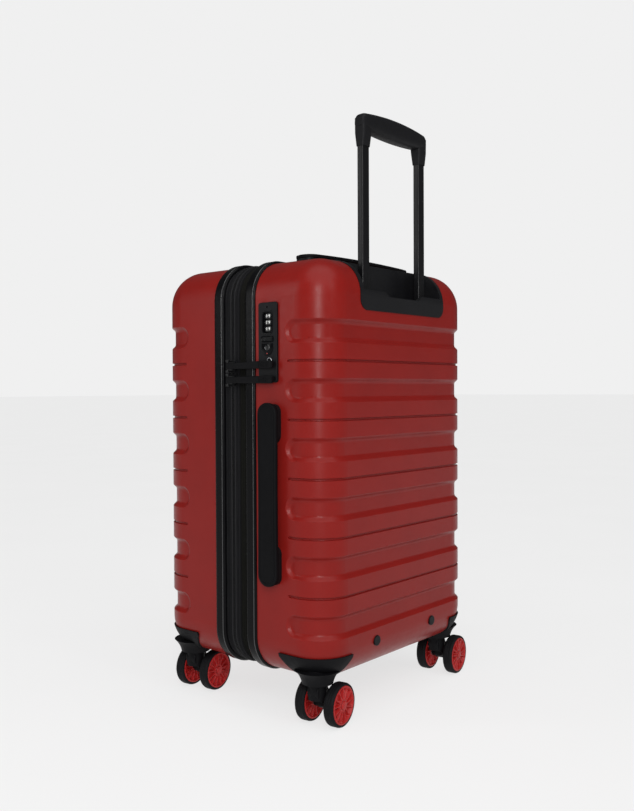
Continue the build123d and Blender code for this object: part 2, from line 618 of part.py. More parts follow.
with BuildPart() as lock_plate:
    with BuildSketch(Plane.YZ.offset(HALF_W)):
        with Locations((LOCK_Y, LOCK_MID)):
            RectangleRounded(LOCK_WIDTH, LOCK_HIGH - LOCK_LOW, 3.5)
    extrude(amount=LOCK_PROUD)
    fillet(lock_plate.faces().sort_by(Axis.X)[-1].edges(), 1)
    slab(LOCK_BACK, HALF_W, LOCK_Y - 11, LOCK_Y + 11, LOCK_LOW + 28, LOCK_HIGH - 5)
    slab(LOCK_BACK + 0.7, 200, LOCK_Y - 7, LOCK_Y + 7, WINDOW_LOW, WINDOW_HIGH, Mode.SUBTRACT)
    with Locations((DIAL_X, LOCK_Y, DIAL_Z)):
        Cylinder(1.5, WINDOW_HIGH - WINDOW_LOW)
    slab(HALF_W - 3, 200, LOCK_Y - 9, LOCK_Y + 9, RELEASE_Z - 3, RELEASE_Z + 3, Mode.SUBTRACT)
    with Locations((HALF_W + 1, LOCK_Y, CYLINDER_Z)):
        Cylinder(CYLINDER_R + RUNNING_CLEARANCE, 12, rotation=(0, 90, 0), mode=Mode.SUBTRACT)
    with Locations((LOCK_FACE, LOCK_Y, LOCK_HIGH - 6)):
        Cylinder(1.4, 2, rotation=(0, 90, 0), mode=Mode.SUBTRACT)
finish(lock_plate, "lock_plate")

for index in (1, 2, 3):
    with BuildPart() as dial:
        with Locations((DIAL_X, LOCK_Y, DIAL_Z + (2 - index) * DIAL_PITCH)):
            Cylinder(DIAL_R, DIAL_WIDTH)
        fillet(dial.edges().filter_by(GeomType.CIRCLE), 0.8)
        with Locations((DIAL_X, LOCK_Y, DIAL_Z + (2 - index) * DIAL_PITCH)):
            Cylinder(1.5 + RUNNING_CLEARANCE, 20, mode=Mode.SUBTRACT)
    finish(dial, f"lock_dial_{index}")

with BuildPart() as lock_release:
    slab(HALF_W - 0.8, LOCK_FACE + 0.8, LOCK_Y - 8.7, LOCK_Y + 8.7, RELEASE_Z - 2.7, RELEASE_Z + 2.7)
    fillet(lock_release.faces().sort_by(Axis.X)[-1].edges(), 0.7)
finish(lock_release, "lock_release")

with BuildPart() as lock_cylinder:
    with Locations((HALF_W + 1 - 6, LOCK_Y, CYLINDER_Z)):
        Cylinder(CYLINDER_R, LOCK_PROUD + 5.4, rotation=(0, 90, 0), align=(Align.CENTER, Align.CENTER, Align.MIN))
    slab(LOCK_FACE - 2, LOCK_FACE + 2, LOCK_Y - 0.5, LOCK_Y + 0.5, CYLINDER_Z - 2.4, CYLINDER_Z + 2.4, Mode.SUBTRACT)
finish(lock_cylinder, "lock_cylinder")


# ---- zip sliders and their pulls ----------------------------------------------------------------
PULL_X = 170.2
PULL_THICK = 3.6
PULL_WIDTH = 9.4
PULL_END_Y = 72
UPPER_PULL_Z = 432.6
LOWER_PULL_Z = 415.6
SLIDER_LOW = HALF_W + 0.9

for slider_name, pull_name, pull_z, away in (
    ("zip_slider_upper", "zip_pull_upper", UPPER_PULL_Z, 1),
    ("zip_slider_lower", "zip_pull_lower", LOWER_PULL_Z, -1),
):
    with BuildPart() as slider:
        slab(SLIDER_LOW, SLIDER_LOW + 2, CHAIN_Y - 6.5, CHAIN_Y + 6.5, pull_z - 7.6, pull_z + 7.6)
        fillet(slider.edges().filter_by(Axis.X), 3)
        # keel between the rows of teeth, and the foot behind the back row
        keel_low = HALF_W - TAPE_IN - 2
        slab(keel_low, SLIDER_LOW, CHAIN_Y - 0.6, CHAIN_Y + 0.6, pull_z - 5, pull_z + 5)
        slab(keel_low, keel_low + 1.6, CHAIN_Y - 0.6, CHAIN_Y + 5.5, pull_z - 5, pull_z + 5)
        for lug in (-1, 1):
            lug_z = pull_z + lug * (PULL_WIDTH / 2 + 1.4)
            slab(SLIDER_LOW + 1, PULL_X + 2, CHAIN_Y - 2.2, CHAIN_Y + 2.2, lug_z - 1, lug_z + 1)
        with Locations((PULL_X, CHAIN_Y, pull_z)):
            Cylinder(1.2, PULL_WIDTH + 3)
    finish(slider, slider_name)
    with BuildPart() as pull:
        with BuildSketch(Plane.XY.offset(pull_z - PULL_WIDTH / 2)):
            with Locations((PULL_X, CHAIN_Y)):
                Circle(PULL_THICK / 2 + 0.4)
        extrude(amount=PULL_WIDTH)
        with BuildSketch(Plane.YZ.offset(PULL_X - PULL_THICK / 2)):
            with Locations(((CHAIN_Y + PULL_END_Y) / 2, pull_z)):
                Rectangle(PULL_END_Y - CHAIN_Y, PULL_WIDTH)
        extrude(amount=PULL_THICK)
        fillet(pull.edges().filter_by(Axis.X).group_by(Axis.Y)[-1], 2)
        with Locations((PULL_X, CHAIN_Y, pull_z)):
            Cylinder(1.2 + RUNNING_CLEARANCE, 40, mode=Mode.SUBTRACT)
    finish(pull, pull_name)


# ---- carry handles ------------------------------------------------------------------------------
def strap_and_mounts():
    """Strap lying along X over the plane z = 0, with its posts, and the two mounts under it."""
    post_x = (STRAP_LENGTH - MOUNT_LENGTH) / 2
    with BuildPart() as strap:
        with BuildSketch(Plane.XY.offset(STRAP_GAP)):
            RectangleRounded(STRAP_LENGTH, STRAP_WIDTH, 12)
        extrude(amount=STRAP_THICK)
        fillet(strap.faces().filter_by(Axis.Z).edges(), 2)
        with Locations((post_x, 0, -7.5), (-post_x, 0, -7.5)):
            Cylinder(POST_R, 7.5 + STRAP_GAP + 1, align=(Align.CENTER, Align.CENTER, Align.MIN))
    with BuildPart() as mounts:
        with BuildSketch():
            with Locations((post_x, 0), (-post_x, 0)):
                RectangleRounded(MOUNT_LENGTH - 3, STRAP_WIDTH - 3, 10)
        extrude(amount=STRAP_GAP - 0.4)
        with Locations((post_x, 0, -8), (-post_x, 0, -8)):
            Cylinder(POST_R + 2.5, 10, align=(Align.CENTER, Align.CENTER, Align.MIN))
            Cylinder(POST_R + RUNNING_CLEARANCE, 60, mode=Mode.SUBTRACT)
    return strap.part, mounts.part


strap_part, mounts_part = strap_and_mounts()
TOP_PLACE = Location((0, TOP_HANDLE_Y, CASE_TOP))
SIDE_PLACE = Location(Plane(origin=(HALF_W, SIDE_HANDLE_Y, SIDE_HANDLE_Z), x_dir=(0, 0, 1), z_dir=(1, 0, 0)))
for handle_name, handle_place in (("top_handle", TOP_PLACE), ("side_handle", SIDE_PLACE)):
    with BuildPart() as handle_strap:
        with Locations(handle_place):
            add(strap_part)
    finish(handle_strap, f"{handle_name}_strap")
    with BuildPart() as handle_mounts:
        with Locations(handle_place):
            add(mounts_part)
    finish(handle_mounts, f"{handle_name}_mounts")
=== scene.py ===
"""Looks of the hard shell cabin suitcase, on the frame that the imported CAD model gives. Metres, +Z up.

+X is the side with the lock, +Y is the back with the telescopic handle.
"""

import math

import bmesh
import bpy
import numpy as np
from mathutils import Matrix, Vector, noise


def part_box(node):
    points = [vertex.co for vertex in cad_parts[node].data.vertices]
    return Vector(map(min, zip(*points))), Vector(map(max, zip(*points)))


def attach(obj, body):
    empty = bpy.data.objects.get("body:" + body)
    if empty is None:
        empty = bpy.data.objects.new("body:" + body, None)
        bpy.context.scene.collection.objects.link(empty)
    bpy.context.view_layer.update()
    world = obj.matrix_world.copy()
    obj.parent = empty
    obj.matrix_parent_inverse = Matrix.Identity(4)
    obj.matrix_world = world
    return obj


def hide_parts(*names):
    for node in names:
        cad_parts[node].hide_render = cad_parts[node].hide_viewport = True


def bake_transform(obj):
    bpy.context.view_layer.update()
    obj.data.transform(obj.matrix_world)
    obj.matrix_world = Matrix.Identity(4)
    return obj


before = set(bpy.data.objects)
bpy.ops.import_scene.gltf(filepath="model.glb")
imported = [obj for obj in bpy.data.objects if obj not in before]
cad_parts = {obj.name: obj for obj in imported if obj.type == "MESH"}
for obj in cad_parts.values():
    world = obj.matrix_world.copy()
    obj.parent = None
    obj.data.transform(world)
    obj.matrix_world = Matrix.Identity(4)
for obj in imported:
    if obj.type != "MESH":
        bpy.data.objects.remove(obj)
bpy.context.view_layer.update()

MM = 0.001
AXIS = 0.00001  # how near the turned shapes come to their axis

# ---- form of the case, as the CAD has it ---------------------------------------------------------
HALF_W = 162 * MM
CASE_BOTTOM = 56 * MM
CASE_TOP = 561 * MM
CORNER_R = 47 * MM
MID_Z = (CASE_BOTTOM + CASE_TOP) / 2
BAND_FRONT = -34 * MM
BAND_BACK = 37 * MM
TRIM_DEPTH = 17 * MM
CHAIN_Y = -3 * MM
TAPE_OUT = -1.2 * MM
TAPE_THICK = 2 * MM
EXPANDER_BACK = 8 * MM
SWIVEL = (132 * MM, 107 * MM)
TRAIL = 15.7 * MM
CASTER_TURN = math.radians(6.5)
WHEEL_R = 26.3 * MM
HUB_R = 22.9 * MM
WHEEL_IN = 13.4 * MM
WHEEL_WIDTH = 14.2 * MM
SPOKES = 13


# ---- materials -----------------------------------------------------------------------------------
def srgb(*levels):
    """Linear colour from 0 to 255 levels."""
    out = []
    for level in levels:
        c = level / 255
        out.append(c / 12.92 if c <= 0.04045 else ((c + 0.055) / 1.055) ** 2.4)
    return out


class Shade:
    """A material's node tree, with short ways to add to it."""

    def __init__(self, name, **sockets):
        self.material = bpy.data.materials.new(name)
        self.material.use_nodes = True
        self.tree = self.material.node_tree
        self.tree.nodes.clear()
        self.out = self.add("ShaderNodeOutputMaterial")
        self.bsdf = self.add("ShaderNodeBsdfPrincipled")
        self.link(self.bsdf.outputs[0], self.out.inputs["Surface"])
        self.coords = self.add("ShaderNodeTexCoord")
        for key, value in sockets.items():
            self.bsdf.inputs[key.replace("_", " ")].default_value = value

    def add(self, kind, **settings):
        node = self.tree.nodes.new(kind)
        for key, value in settings.items():
            setattr(node, key, value)
        return node

    def link(self, a, b):
        self.tree.links.new(a, b)

    def noise(self, scale, detail=3, stretch=(1, 1, 1), coords="Object", rough=0.5):
        """Noise in the piece's own coordinates; scale is how many features to a metre."""
        spread = self.add("ShaderNodeMapping")
        spread.inputs["Scale"].default_value = stretch
        self.link(self.coords.outputs[coords], spread.inputs["Vector"])
        node = self.add("ShaderNodeTexNoise")
        node.inputs["Scale"].default_value = scale
        node.inputs["Detail"].default_value = detail
        node.inputs["Roughness"].default_value = rough
        self.link(spread.outputs[0], node.inputs["Vector"])
        return node.outputs["Fac"]

    def waves(self, period, along="X", wobble=0.0):
        """Sine waves in the UV map with their period in metres."""
        node = self.add("ShaderNodeTexWave", wave_type="BANDS", bands_direction=along)
        node.inputs["Scale"].default_value = math.pi / (10 * period)
        node.inputs["Distortion"].default_value = wobble
        node.inputs["Detail"].default_value = 1
        self.link(self.coords.outputs["UV"], node.inputs["Vector"])
        return node.outputs["Fac"]

    def math(self, operation, a, b):
        node = self.add("ShaderNodeMath", operation=operation)
        for socket, value in zip(node.inputs, (a, b)):
            if isinstance(value, (int, float)):
                socket.default_value = value
            else:
                self.link(value, socket)
        return node.outputs[0]

    def spread(self, fac, low, high, start=0.3, end=0.7):
        """Map a 0 to 1 value onto another range."""
        node = self.add("ShaderNodeMapRange")
        for key, value in (("From Min", start), ("From Max", end), ("To Min", low), ("To Max", high)):
            node.inputs[key].default_value = value
        self.link(fac, node.inputs["Value"])
        return node.outputs[0]

    def colours(self, fac, *stops):
        """Base colour from a ramp; each stop is (position, colour)."""
        ramp = self.add("ShaderNodeValToRGB")
        for stop in stops[2:]:
            ramp.color_ramp.elements.new(stop[0])
        for element, (position, colour) in zip(ramp.color_ramp.elements, stops):
            element.position = position
            element.color = (*colour, 1)
        self.link(fac, ramp.inputs[0])
        self.link(ramp.outputs[0], self.bsdf.inputs["Base Color"])

    def roughness(self, fac, low, high):
        self.link(self.spread(fac, low, high), self.bsdf.inputs["Roughness"])

    def bump(self, height, depth, before=None, strength=1.0):
        """Height from 0 to 1 as a bump of that depth in metres."""
        node = self.add("ShaderNodeBump")
        node.inputs["Strength"].default_value = strength
        node.inputs["Distance"].default_value = depth
        self.link(height, node.inputs["Height"])
        if before is not None:
            self.link(before, node.inputs["Normal"])
        self.link(node.outputs[0], self.bsdf.inputs["Normal"])
        return node.outputs[0]


def tint(colour, k):
    return [min(1, c * k) for c in colour]


def moulded(name, colour, rough, grain, depth, mottle=0.1, stretch=(1, 1, 1), **sockets):
    """Moulded plastic or painted metal: faint blotches, uneven gloss and a fine grain."""
    m = Shade(name, **sockets)
    m.colours(m.noise(22, 5), (0.3, tint(colour, 1 - mottle)), (0.7, tint(colour, 1 + mottle)))
    m.roughness(m.noise(140, 4, stretch), rough - 0.05, rough + 0.06)
    soft = m.bump(m.noise(45, 2), 0.00012, strength=0.35)
    m.bump(m.noise(grain, 3, stretch), depth, before=soft)
    return m.material


def woven(name, colour, thread, rough=0.85, rib=None, **sockets):
    """Plain weave in the piece's UV map; thread is its pitch in metres."""
    m = Shade(name, **sockets)
    warp = m.waves(thread, "X", wobble=0.6)
    weft = m.waves(thread * 1.15, "Y", wobble=0.6)
    crossing = m.math("MULTIPLY", warp, weft)
    uneven = m.math("MULTIPLY", m.noise(30, 3, coords="UV"), 0.25)
    weave = m.math("ADD", crossing, uneven)
    height = weave
    if rib:
        height = m.math("ADD", m.math("MULTIPLY", weave, 0.35), m.math("MULTIPLY", m.waves(rib, "Y"), 0.9))
    m.colours(height, (0.15, tint(colour, 0.55)), (0.9, tint(colour, 1.3)))
    m.roughness(m.noise(300, 2, coords="UV"), rough - 0.07, min(1, rough + 0.07))
    m.bump(height, thread * 0.35, strength=0.8)
    return m.material


RED = srgb(122, 23, 19)
BLACK = srgb(14, 14, 16)
SHELL = moulded("shell_polycarbonate", RED, 0.33, 900, 0.00006, 0.05, Specular_IOR_Level=0.17)
TRIM = moulded("trim_gloss_black", tint(BLACK, 0.6), 0.24, 900, 0.00001, Specular_IOR_Level=0.08)
# black lighter than the trims: a painted highlight line, with real gloss that also catches the lamps
EDGE_HIGHLIGHT_BLACK = moulded("trim_edge_painted_highlight", tint(BLACK, 2), 0.3, 900, 0.00001, Specular_IOR_Level=0.9)
PLASTIC = moulded("satin_black_plastic", BLACK, 0.45, 1500, 0.00003, Specular_IOR_Level=0.14)
HOUSING = moulded("caster_black_plastic", BLACK, 0.55, 1300, 0.00005, Specular_IOR_Level=0.09)
TRAY = moulded("tray_black_plastic", tint(BLACK, 1.3), 0.42, 1500, 0.00003, Specular_IOR_Level=0.22)
TUBE = moulded("tube_black_anodised", tint(BLACK, 0.9), 0.34, 700, 0.00001, 0.15, (6, 6, 0.15),
               Specular_IOR_Level=0.22)
GRIP = moulded("grip_soft_touch", tint(BLACK, 1.25), 0.58, 1500, 0.00003, Specular_IOR_Level=0.16)
RUBBER = moulded("handle_rubber", tint(BLACK, 0.8), 0.6, 1700, 0.00005, Specular_IOR_Level=0.07)
TYRE = moulded("tyre_rubber", tint(BLACK, 1.1), 0.66, 900, 0.00006, 0.25, Specular_IOR_Level=0.12)
HUB = moulded("hub_red_plastic", srgb(158, 30, 29), 0.42, 1200, 0.00002, Specular_IOR_Level=0.2)
STEEL = moulded("steel_pin", srgb(165, 166, 170), 0.3, 900, 0.00001, 0.1, (1, 1, 8), Metallic=1.0)
DIAL = moulded("dial_black", tint(BLACK, 0.8), 0.35, 900, 0.00001, Specular_IOR_Level=0.4)
TEETH = moulded("zip_teeth_nylon", tint(BLACK, 0.9), 0.4, 1500, 0.00001, Specular_IOR_Level=0.35)
PULL = moulded("zip_pull_rubber", tint(BLACK, 0.7), 0.52, 1600, 0.00004, Specular_IOR_Level=0.08)
PRINT = moulded("white_print", srgb(238, 239, 235), 0.5, 1500, 0.00001, 0.05)
MARK = moulded("red_mark", srgb(190, 70, 66), 0.5, 1500, 0.00001, 0.05)
TAPE = woven("zip_tape_woven", srgb(17, 17, 19), 0.0007, 0.9, rib=0.0021, Specular_IOR_Level=0.12)
GUSSET = woven("expander_cloth", srgb(24, 24, 21), 0.0009, 0.92, Specular_IOR_Level=0.12)
LINING = woven("lining_polyester", srgb(96, 97, 101), 0.0009, 0.7, Sheen_Weight=0.25, Specular_IOR_Level=0.3)
WEBBING = woven("webbing_black", srgb(26, 26, 28), 0.0014, 0.8, rib=0.0035, Specular_IOR_Level=0.2)
THREAD = woven("thread_black", srgb(34, 34, 36), 0.0004, 0.8, Specular_IOR_Level=0.2)


# ---- mesh helpers --------------------------------------------------------------------------------
def piece(name, verts, faces, material, body, replaced=(), flat=False, uvs=None):
    """A mesh object that rides on a body."""
    mesh = bpy.data.meshes.new(name)
    mesh.from_pydata([tuple(map(float, v)) for v in verts], [], [tuple(map(int, f)) for f in faces])
    if uvs is not None:
        layer = mesh.uv_layers.new(name="UVMap")
        layer.data.foreach_set("uv", np.asarray(uvs, np.float32).ravel())
    work = bmesh.new()
    work.from_mesh(mesh)
    bmesh.ops.recalc_face_normals(work, faces=work.faces)
    work.to_mesh(mesh)
    work.free()
    if not flat:
        mesh.shade_smooth()
        mesh.set_sharp_from_angle(angle=math.radians(42))
    mesh.materials.append(material)
    obj = bpy.data.objects.new(name, mesh)
    bpy.context.scene.collection.objects.link(obj)
    if body:
        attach(obj, body)
    if replaced:
        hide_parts(*replaced)
    return obj


def loft(rings, path_closed=False, caps=True):
    """Vertices, faces and UVs of a skin through a row of rings; the UVs are lengths along and round it."""
    points = np.array(rings, float)
    n, m, _ = points.shape
    steps = np.linalg.norm(np.roll(points, -1, 0) - points, axis=2).mean(1)
    along = np.concatenate([[0], np.cumsum(steps)])
    turns = np.linalg.norm(np.roll(points[0], -1, 0) - points[0], axis=1)
    around = np.concatenate([[0], np.cumsum(turns)])
    faces, uvs = [], []
    for i in range(n if path_closed else n - 1):
        j = (i + 1) % n
        for k in range(m):
            h = (k + 1) % m
            faces.append((i * m + k, i * m + h, j * m + h, j * m + k))
            uvs += [(along[i], around[k]), (along[i], around[k + 1]), (along[i + 1], around[k + 1]),
                    (along[i + 1], around[k])]
    if caps and not path_closed:
        faces.append(tuple(range(m))[::-1])
        faces.append(tuple(range((n - 1) * m, n * m)))
        uvs += [(0, 0)] * (2 * m)
    return points.reshape(-1, 3), faces, uvs


def joined(*parts):
    """Several (vertices, faces, uvs) as one."""
    verts, faces, uvs, base = [], [], [], 0
    for v, f, u in parts:
        verts.append(np.asarray(v, float))
        faces += [tuple(i + base for i in face) for face in f]
        uvs += list(u)
        base += len(v)
    return np.concatenate(verts), faces, uvs


def copies(part, places):
    """One part at many places, each a 4x4 matrix."""
    v, f, u = part
    v = np.asarray(v, float)
    out = []
    for place in places:
        m = np.array(place)
        out.append((v @ m[:3, :3].T + m[:3, 3], f, u))
    return joined(*out)


def between(value):
    """The value, kept from 0 to 1."""
    return min(1, max(0, value))


def superellipse(a, b, power=4, count=20):
    """Points round a rounded oblong with half sizes a and b."""
    out = []
    for i in range(count):
        t = 2 * math.pi * (i + 0.5) / count
        c, s = math.cos(t), math.sin(t)
        out.append((a * math.copysign(abs(c) ** (2 / power), c), b * math.copysign(abs(s) ** (2 / power), s)))
    return out


def bead(length, width, height):
    """Small rounded block, along x, for stitches and teeth."""
    rings = []
    for x, k in ((-0.5, 0.45), (-0.38, 0.9), (0.38, 0.9), (0.5, 0.45)):
        rings.append([(x * length, a * k, b * k) for a, b in superellipse(width / 2, height / 2, 3, 8)])
    return loft(rings)


def lathe(profile, place, count=64):
    """Turned shape: profile points are (radius, height), place takes its z axis to the row frame."""
    rings = []
    for i in range(count):
        t = 2 * math.pi * i / count
        rings.append([place @ Vector((r * math.cos(t), r * math.sin(t), h)) for r, h in profile])
    return loft(rings, path_closed=True)


def axes(origin, x, y, z):
    """Matrix with these axes at the origin given."""
    m = Matrix.Identity(4)
    for i, v in enumerate((x, y, z, origin)):
        for k in range(3):
            m[k][i] = v[k]
    return m


RUN_X = HALF_W - CORNER_R
RUN_Z = (CASE_TOP - CASE_BOTTOM) / 2 - CORNER_R
LENGTH = 4 * RUN_X + 4 * RUN_Z + 2 * math.pi * CORNER_R


def round_case(s):
    """(x, z, outward x, outward z) on the case's section.

    s is the distance from the middle of the hinge side, downwards first.
    """
    s = s % LENGTH
    x, z, heading = -HALF_W, MID_Z, -math.pi / 2
    for run in (RUN_Z, 2 * RUN_X, 2 * RUN_Z, 2 * RUN_X, RUN_Z):
        d = min(s, run)
        x += d * math.cos(heading)
        z += d * math.sin(heading)
        s -= d
        if s <= 1e-9:
            break
        turn = min(s / CORNER_R, math.pi / 2)
        x -= CORNER_R * math.sin(heading)
        z += CORNER_R * math.cos(heading)
        heading += turn
        x += CORNER_R * math.sin(heading)
        z -= CORNER_R * math.cos(heading)
        s -= turn * CORNER_R
        if s <= 1e-9:
            break
    return x, z, math.sin(heading), -math.cos(heading)


def case_point(s, out, y):
    x, z, ox, oz = round_case(s)
    return (x + ox * out, y, z + oz * out)


def case_places(start, end, pitch, out, y):
    """Matrices round the case: x along it, y along Y, z outwards."""
    count = int((end - start) / pitch)
    found = []
    for i in range(count):
        s = start + pitch * i
        x, z, ox, oz = round_case(s)
        found.append(axes((x + ox * out, y, z + oz * out), (-oz, 0, ox), (0, 1, 0), (ox, 0, oz)))
    return found


def band(profile, step=0.004, wave=None):
    """Skin all round the case with this closed profile of (outwards, y)."""
    count = int(LENGTH / step)
    rings = []
    for i in range(count):
        s = LENGTH * i / count
        rings.append([case_point(s, o + (wave(s, y) if wave else 0), y) for o, y in profile])
    return loft(rings, path_closed=True)


def oblong(o0, o1, y0, y1, power=5, count=16):
    """Rounded profile between two outward distances and two y."""
    return [((o0 + o1) / 2 + a, (y0 + y1) / 2 + b)
            for a, b in superellipse((o1 - o0) / 2, (y1 - y0) / 2, power, count)]


# ---- CAD nodes that stay, with their finish ------------------------------------------------------
FINISH = {
    "back_shell": SHELL, "front_shell": SHELL, "back_trim": TRIM, "front_trim": TRIM,
    "handle_tray": TRAY, "outer_tubes": TUBE, "middle_tubes": TUBE, "inner_tubes": TUBE,
    "tube_bracket": PLASTIC, "bracket_screws": PLASTIC, "lock_plate": PLASTIC,
    "lock_release": TRIM, "lock_cylinder": DIAL, "zip_slider_upper": TEETH, "zip_slider_lower": TEETH,
    "caster_housings_back": HOUSING, "caster_housings_front": HOUSING, "kingpins_back": STEEL,
    "kingpins_front": STEEL, "side_handle_mounts": PLASTIC, "top_handle_mounts": PLASTIC,
}
for node_name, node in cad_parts.items():
    finish_of = FINISH.get(node_name)
    if node_name.startswith("fork_"):
        finish_of = HOUSING
    elif node_name.startswith("axle_"):
        finish_of = STEEL
    if finish_of:
        node.data.materials.clear()
        node.data.materials.append(finish_of)


# ---- zip: tapes, teeth, stitching ----------------------------------------------------------------
RIBS = 0.00018


def tape_wave(s, y):
    """Slight unevenness of the sewn tape."""
    return RIBS * math.sin(s * 95) + 0.00022 * noise.noise(Vector((s * 22, y * 60, 0.3)))


front_tape = oblong(TAPE_OUT - TAPE_THICK, TAPE_OUT, BAND_FRONT + TRIM_DEPTH - 0.001, CHAIN_Y - 0.0011, 6, 28)
back_tape = oblong(TAPE_OUT - TAPE_THICK, TAPE_OUT, CHAIN_Y + 0.0011, EXPANDER_BACK, 6, 28)
v, f, u = band(front_tape, wave=tape_wave)
piece("front_zip_tape_cloth", v, f, TAPE, "front_half", ["front_zip_tape"], uvs=u)
v, f, u = band(back_tape, wave=tape_wave)
piece("back_zip_tape_cloth", v, f, TAPE, "zip_frame", ["back_zip_tape"], uvs=u)

# the teeth run round three sides; the fourth is the cloth hinge
HINGE_HALF = RUN_Z - 0.012
TOOTH_PITCH = 0.0021
STITCH_PITCH = 0.0036
tooth_head = copies(bead(0.0013, 0.0011, 0.0017), [Matrix.Translation((0, 0, 0.0001))])
tooth = joined(bead(0.00095, 0.0021, 0.0013), tooth_head)
for name, body, root_y, side in (
    ("zip_teeth_front", "front_half", CHAIN_Y - 0.0012, -1),
    ("zip_teeth_back", "zip_frame", CHAIN_Y + 0.0012, 1),
):
    start = HINGE_HALF + (TOOTH_PITCH / 2 if side > 0 else 0)
    places = case_places(start, LENGTH - HINGE_HALF, TOOTH_PITCH, -0.0003, root_y)
    v, f, u = copies(tooth, places)
    piece(name, v, f, TEETH, body, uvs=u)
    # cord that the teeth are sewn over
    v, f, u = band(oblong(-0.0014, -0.0002, root_y + side * 0.0009, root_y + side * 0.0031), step=0.005)
    piece(name + "_cord", v, f, THREAD, body, uvs=u)

stitch = bead(0.0026, 0.0006, 0.0006)
for name, body, y in (
    ("stitches_front_outer", "front_half", BAND_FRONT + TRIM_DEPTH + 0.0022),
    ("stitches_front_inner", "front_half", CHAIN_Y - 0.0066),
    ("stitches_back_inner", "zip_frame", CHAIN_Y + 0.0052),
    ("stitches_back_outer", "zip_frame", EXPANDER_BACK - 0.0016),
):
    v, f, u = copies(stitch, case_places(0, LENGTH, STITCH_PITCH, TAPE_OUT + 0.0002, y))
    piece(name, v, f, THREAD, body, uvs=u)

# pleated cloth of the expander, which opens out when the case grows deeper
PLEATS = 4
GUSSET_START = EXPANDER_BACK - 0.0006
GUSSET_END = BAND_BACK - TRIM_DEPTH + 0.001
PLEAT_STEPS = 40
pleat = []
for k in range(PLEAT_STEPS + 1):
    t = k / PLEAT_STEPS
    fold = 0.5 - 0.5 * math.cos(2 * math.pi * PLEATS * t)
    pleat.append((TAPE_OUT - 0.0006 - 0.0026 * fold, GUSSET_START + (GUSSET_END - GUSSET_START) * t))
pleat = pleat + [(o - 0.0007, y) for o, y in reversed(pleat)]
v, f, u = band(pleat, step=0.005, wave=tape_wave)
gusset = piece("expander_pleats", v, f, GUSSET, None, ["expansion_gusset"], uvs=u)
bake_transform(gusset)

# ---- cloth hinge on the side opposite the lock ---------------------------------------------------
lo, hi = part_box("hinge_strip")
rings = []
HINGE_STEPS = 60
for i in range(HINGE_STEPS + 1):
    z = lo.z + (hi.z - lo.z) * i / HINGE_STEPS
    pull_in = 0.0004 * math.sin(i * 1.7)
    rings.append([(lo.x + 0.0006 + a + pull_in, (lo.y + hi.y) / 2 + b, z)
                  for a, b in superellipse(0.00045, (hi.y - lo.y) / 2, 8, 24)])
v, f, u = loft(rings)
hinge = piece("hinge_cloth", v, f, GUSSET, None, ["hinge_strip"], uvs=u)
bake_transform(hinge)

# ---- raised line along each trim, lighter than the trim: a glossy ridge with a painted highlight ---
TRIM_PROUD = 3 * MM
for name, body, y in (
    ("bead_front_trim", "front_half", BAND_FRONT + TRIM_DEPTH - 0.0031),
    ("bead_back_trim", "root", BAND_BACK - 0.0031),
):
    line = [(TRIM_PROUD - 0.0002 + a, y + b) for a, b in superellipse(0.0004, 0.0006, 2, 10)]
    v, f, u = band(line)
    piece(name, v, f, EDGE_HIGHLIGHT_BLACK, body, uvs=u)


# ---- lock ----------------------------------------------------------------------------------------
plate_lo, plate_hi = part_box("lock_plate")
FACE = plate_hi.x
LOCK_Y = (plate_lo.y + plate_hi.y) / 2


def digits_mesh(body_text, size):
    """Text as a flat mesh in its own x and y."""
    curve = bpy.data.curves.new("digits_source", "FONT")
    curve.body = body_text
    curve.size = size
    curve.align_x = "CENTER"
    curve.align_y = "CENTER"
    curve.offset = 0.00006
    source = bpy.data.objects.new("digits_source", curve)
    bpy.context.scene.collection.objects.link(source)
    bpy.context.view_layer.update()
    mesh = bpy.data.meshes.new_from_object(source.evaluated_get(bpy.context.evaluated_depsgraph_get()))
    v = np.array([p.co[:] for p in mesh.vertices])
    f = [tuple(p.vertices) for p in mesh.polygons]
    bpy.data.objects.remove(source)
    bpy.data.meshes.remove(mesh)
    bpy.data.curves.remove(curve)
    return v, f


DIGITS = 10
DIGIT_SIZE = 0.005
DIGIT_SUNK = 0.00016
RIDGE = 0.00028
numerals = [digits_mesh(str(d), DIGIT_SIZE) for d in range(DIGITS)]
DIAL_STEPS = 120
DIGIT_NARROW = 0.78
for index in (1, 2, 3):
    lo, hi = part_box(f"lock_dial_{index}")
    centre, radius = (lo + hi) / 2, (hi.x - lo.x) / 2
    body = f"dial_{index}"
    half = (hi.z - lo.z) / 2
    # a ridge between each number and the next
    rings = []
    for k in range(DIAL_STEPS):
        t = 2 * math.pi * k / DIAL_STEPS
        ridge = RIDGE * (1 - math.exp(-((math.cos(5 * t) / 0.35) ** 2)))
        r = radius - ridge
        ring = [(r - 0.0035, -half), (r - 0.0005, -half), (r, -half + 0.0006), (r, half - 0.0006),
                (r - 0.0005, half), (r - 0.0035, half)]
        c, s = math.cos(t), math.sin(t)
        rings.append([(centre.x + a * c, centre.y + a * s, centre.z + h) for a, h in ring])
    v, f, u = loft(rings, path_closed=True)
    piece(f"lock_dial_ring_{index}", v, f, DIAL, body, [f"lock_dial_{index}"], uvs=u)
    parts = []
    for d in range(DIGITS):
        flat, faces = numerals[-d % DIGITS]
        angle = 2 * math.pi * d / DIGITS + flat[:, 0] * DIGIT_NARROW / radius
        r = radius - DIGIT_SUNK
        across, along = centre.x + r * np.cos(angle), centre.y + r * np.sin(angle)
        mapped = np.stack([across, along, centre.z + flat[:, 1]], 1)
        parts.append((mapped, faces, [(0, 0)] * sum(len(q) for q in faces)))
    v, f, u = joined(*parts)
    piece(f"lock_digits_{index}", v, f, PRINT, body, flat=True)


def outline(width, height, power=5, count=48):
    return superellipse(width / 2, height / 2, power, count)


def on_face(points, z_mid, out):
    """Points of an outline (along Y, along Z) on the lock plate's face."""
    return [(FACE + out, LOCK_Y + a, z_mid + b) for a, b in points]


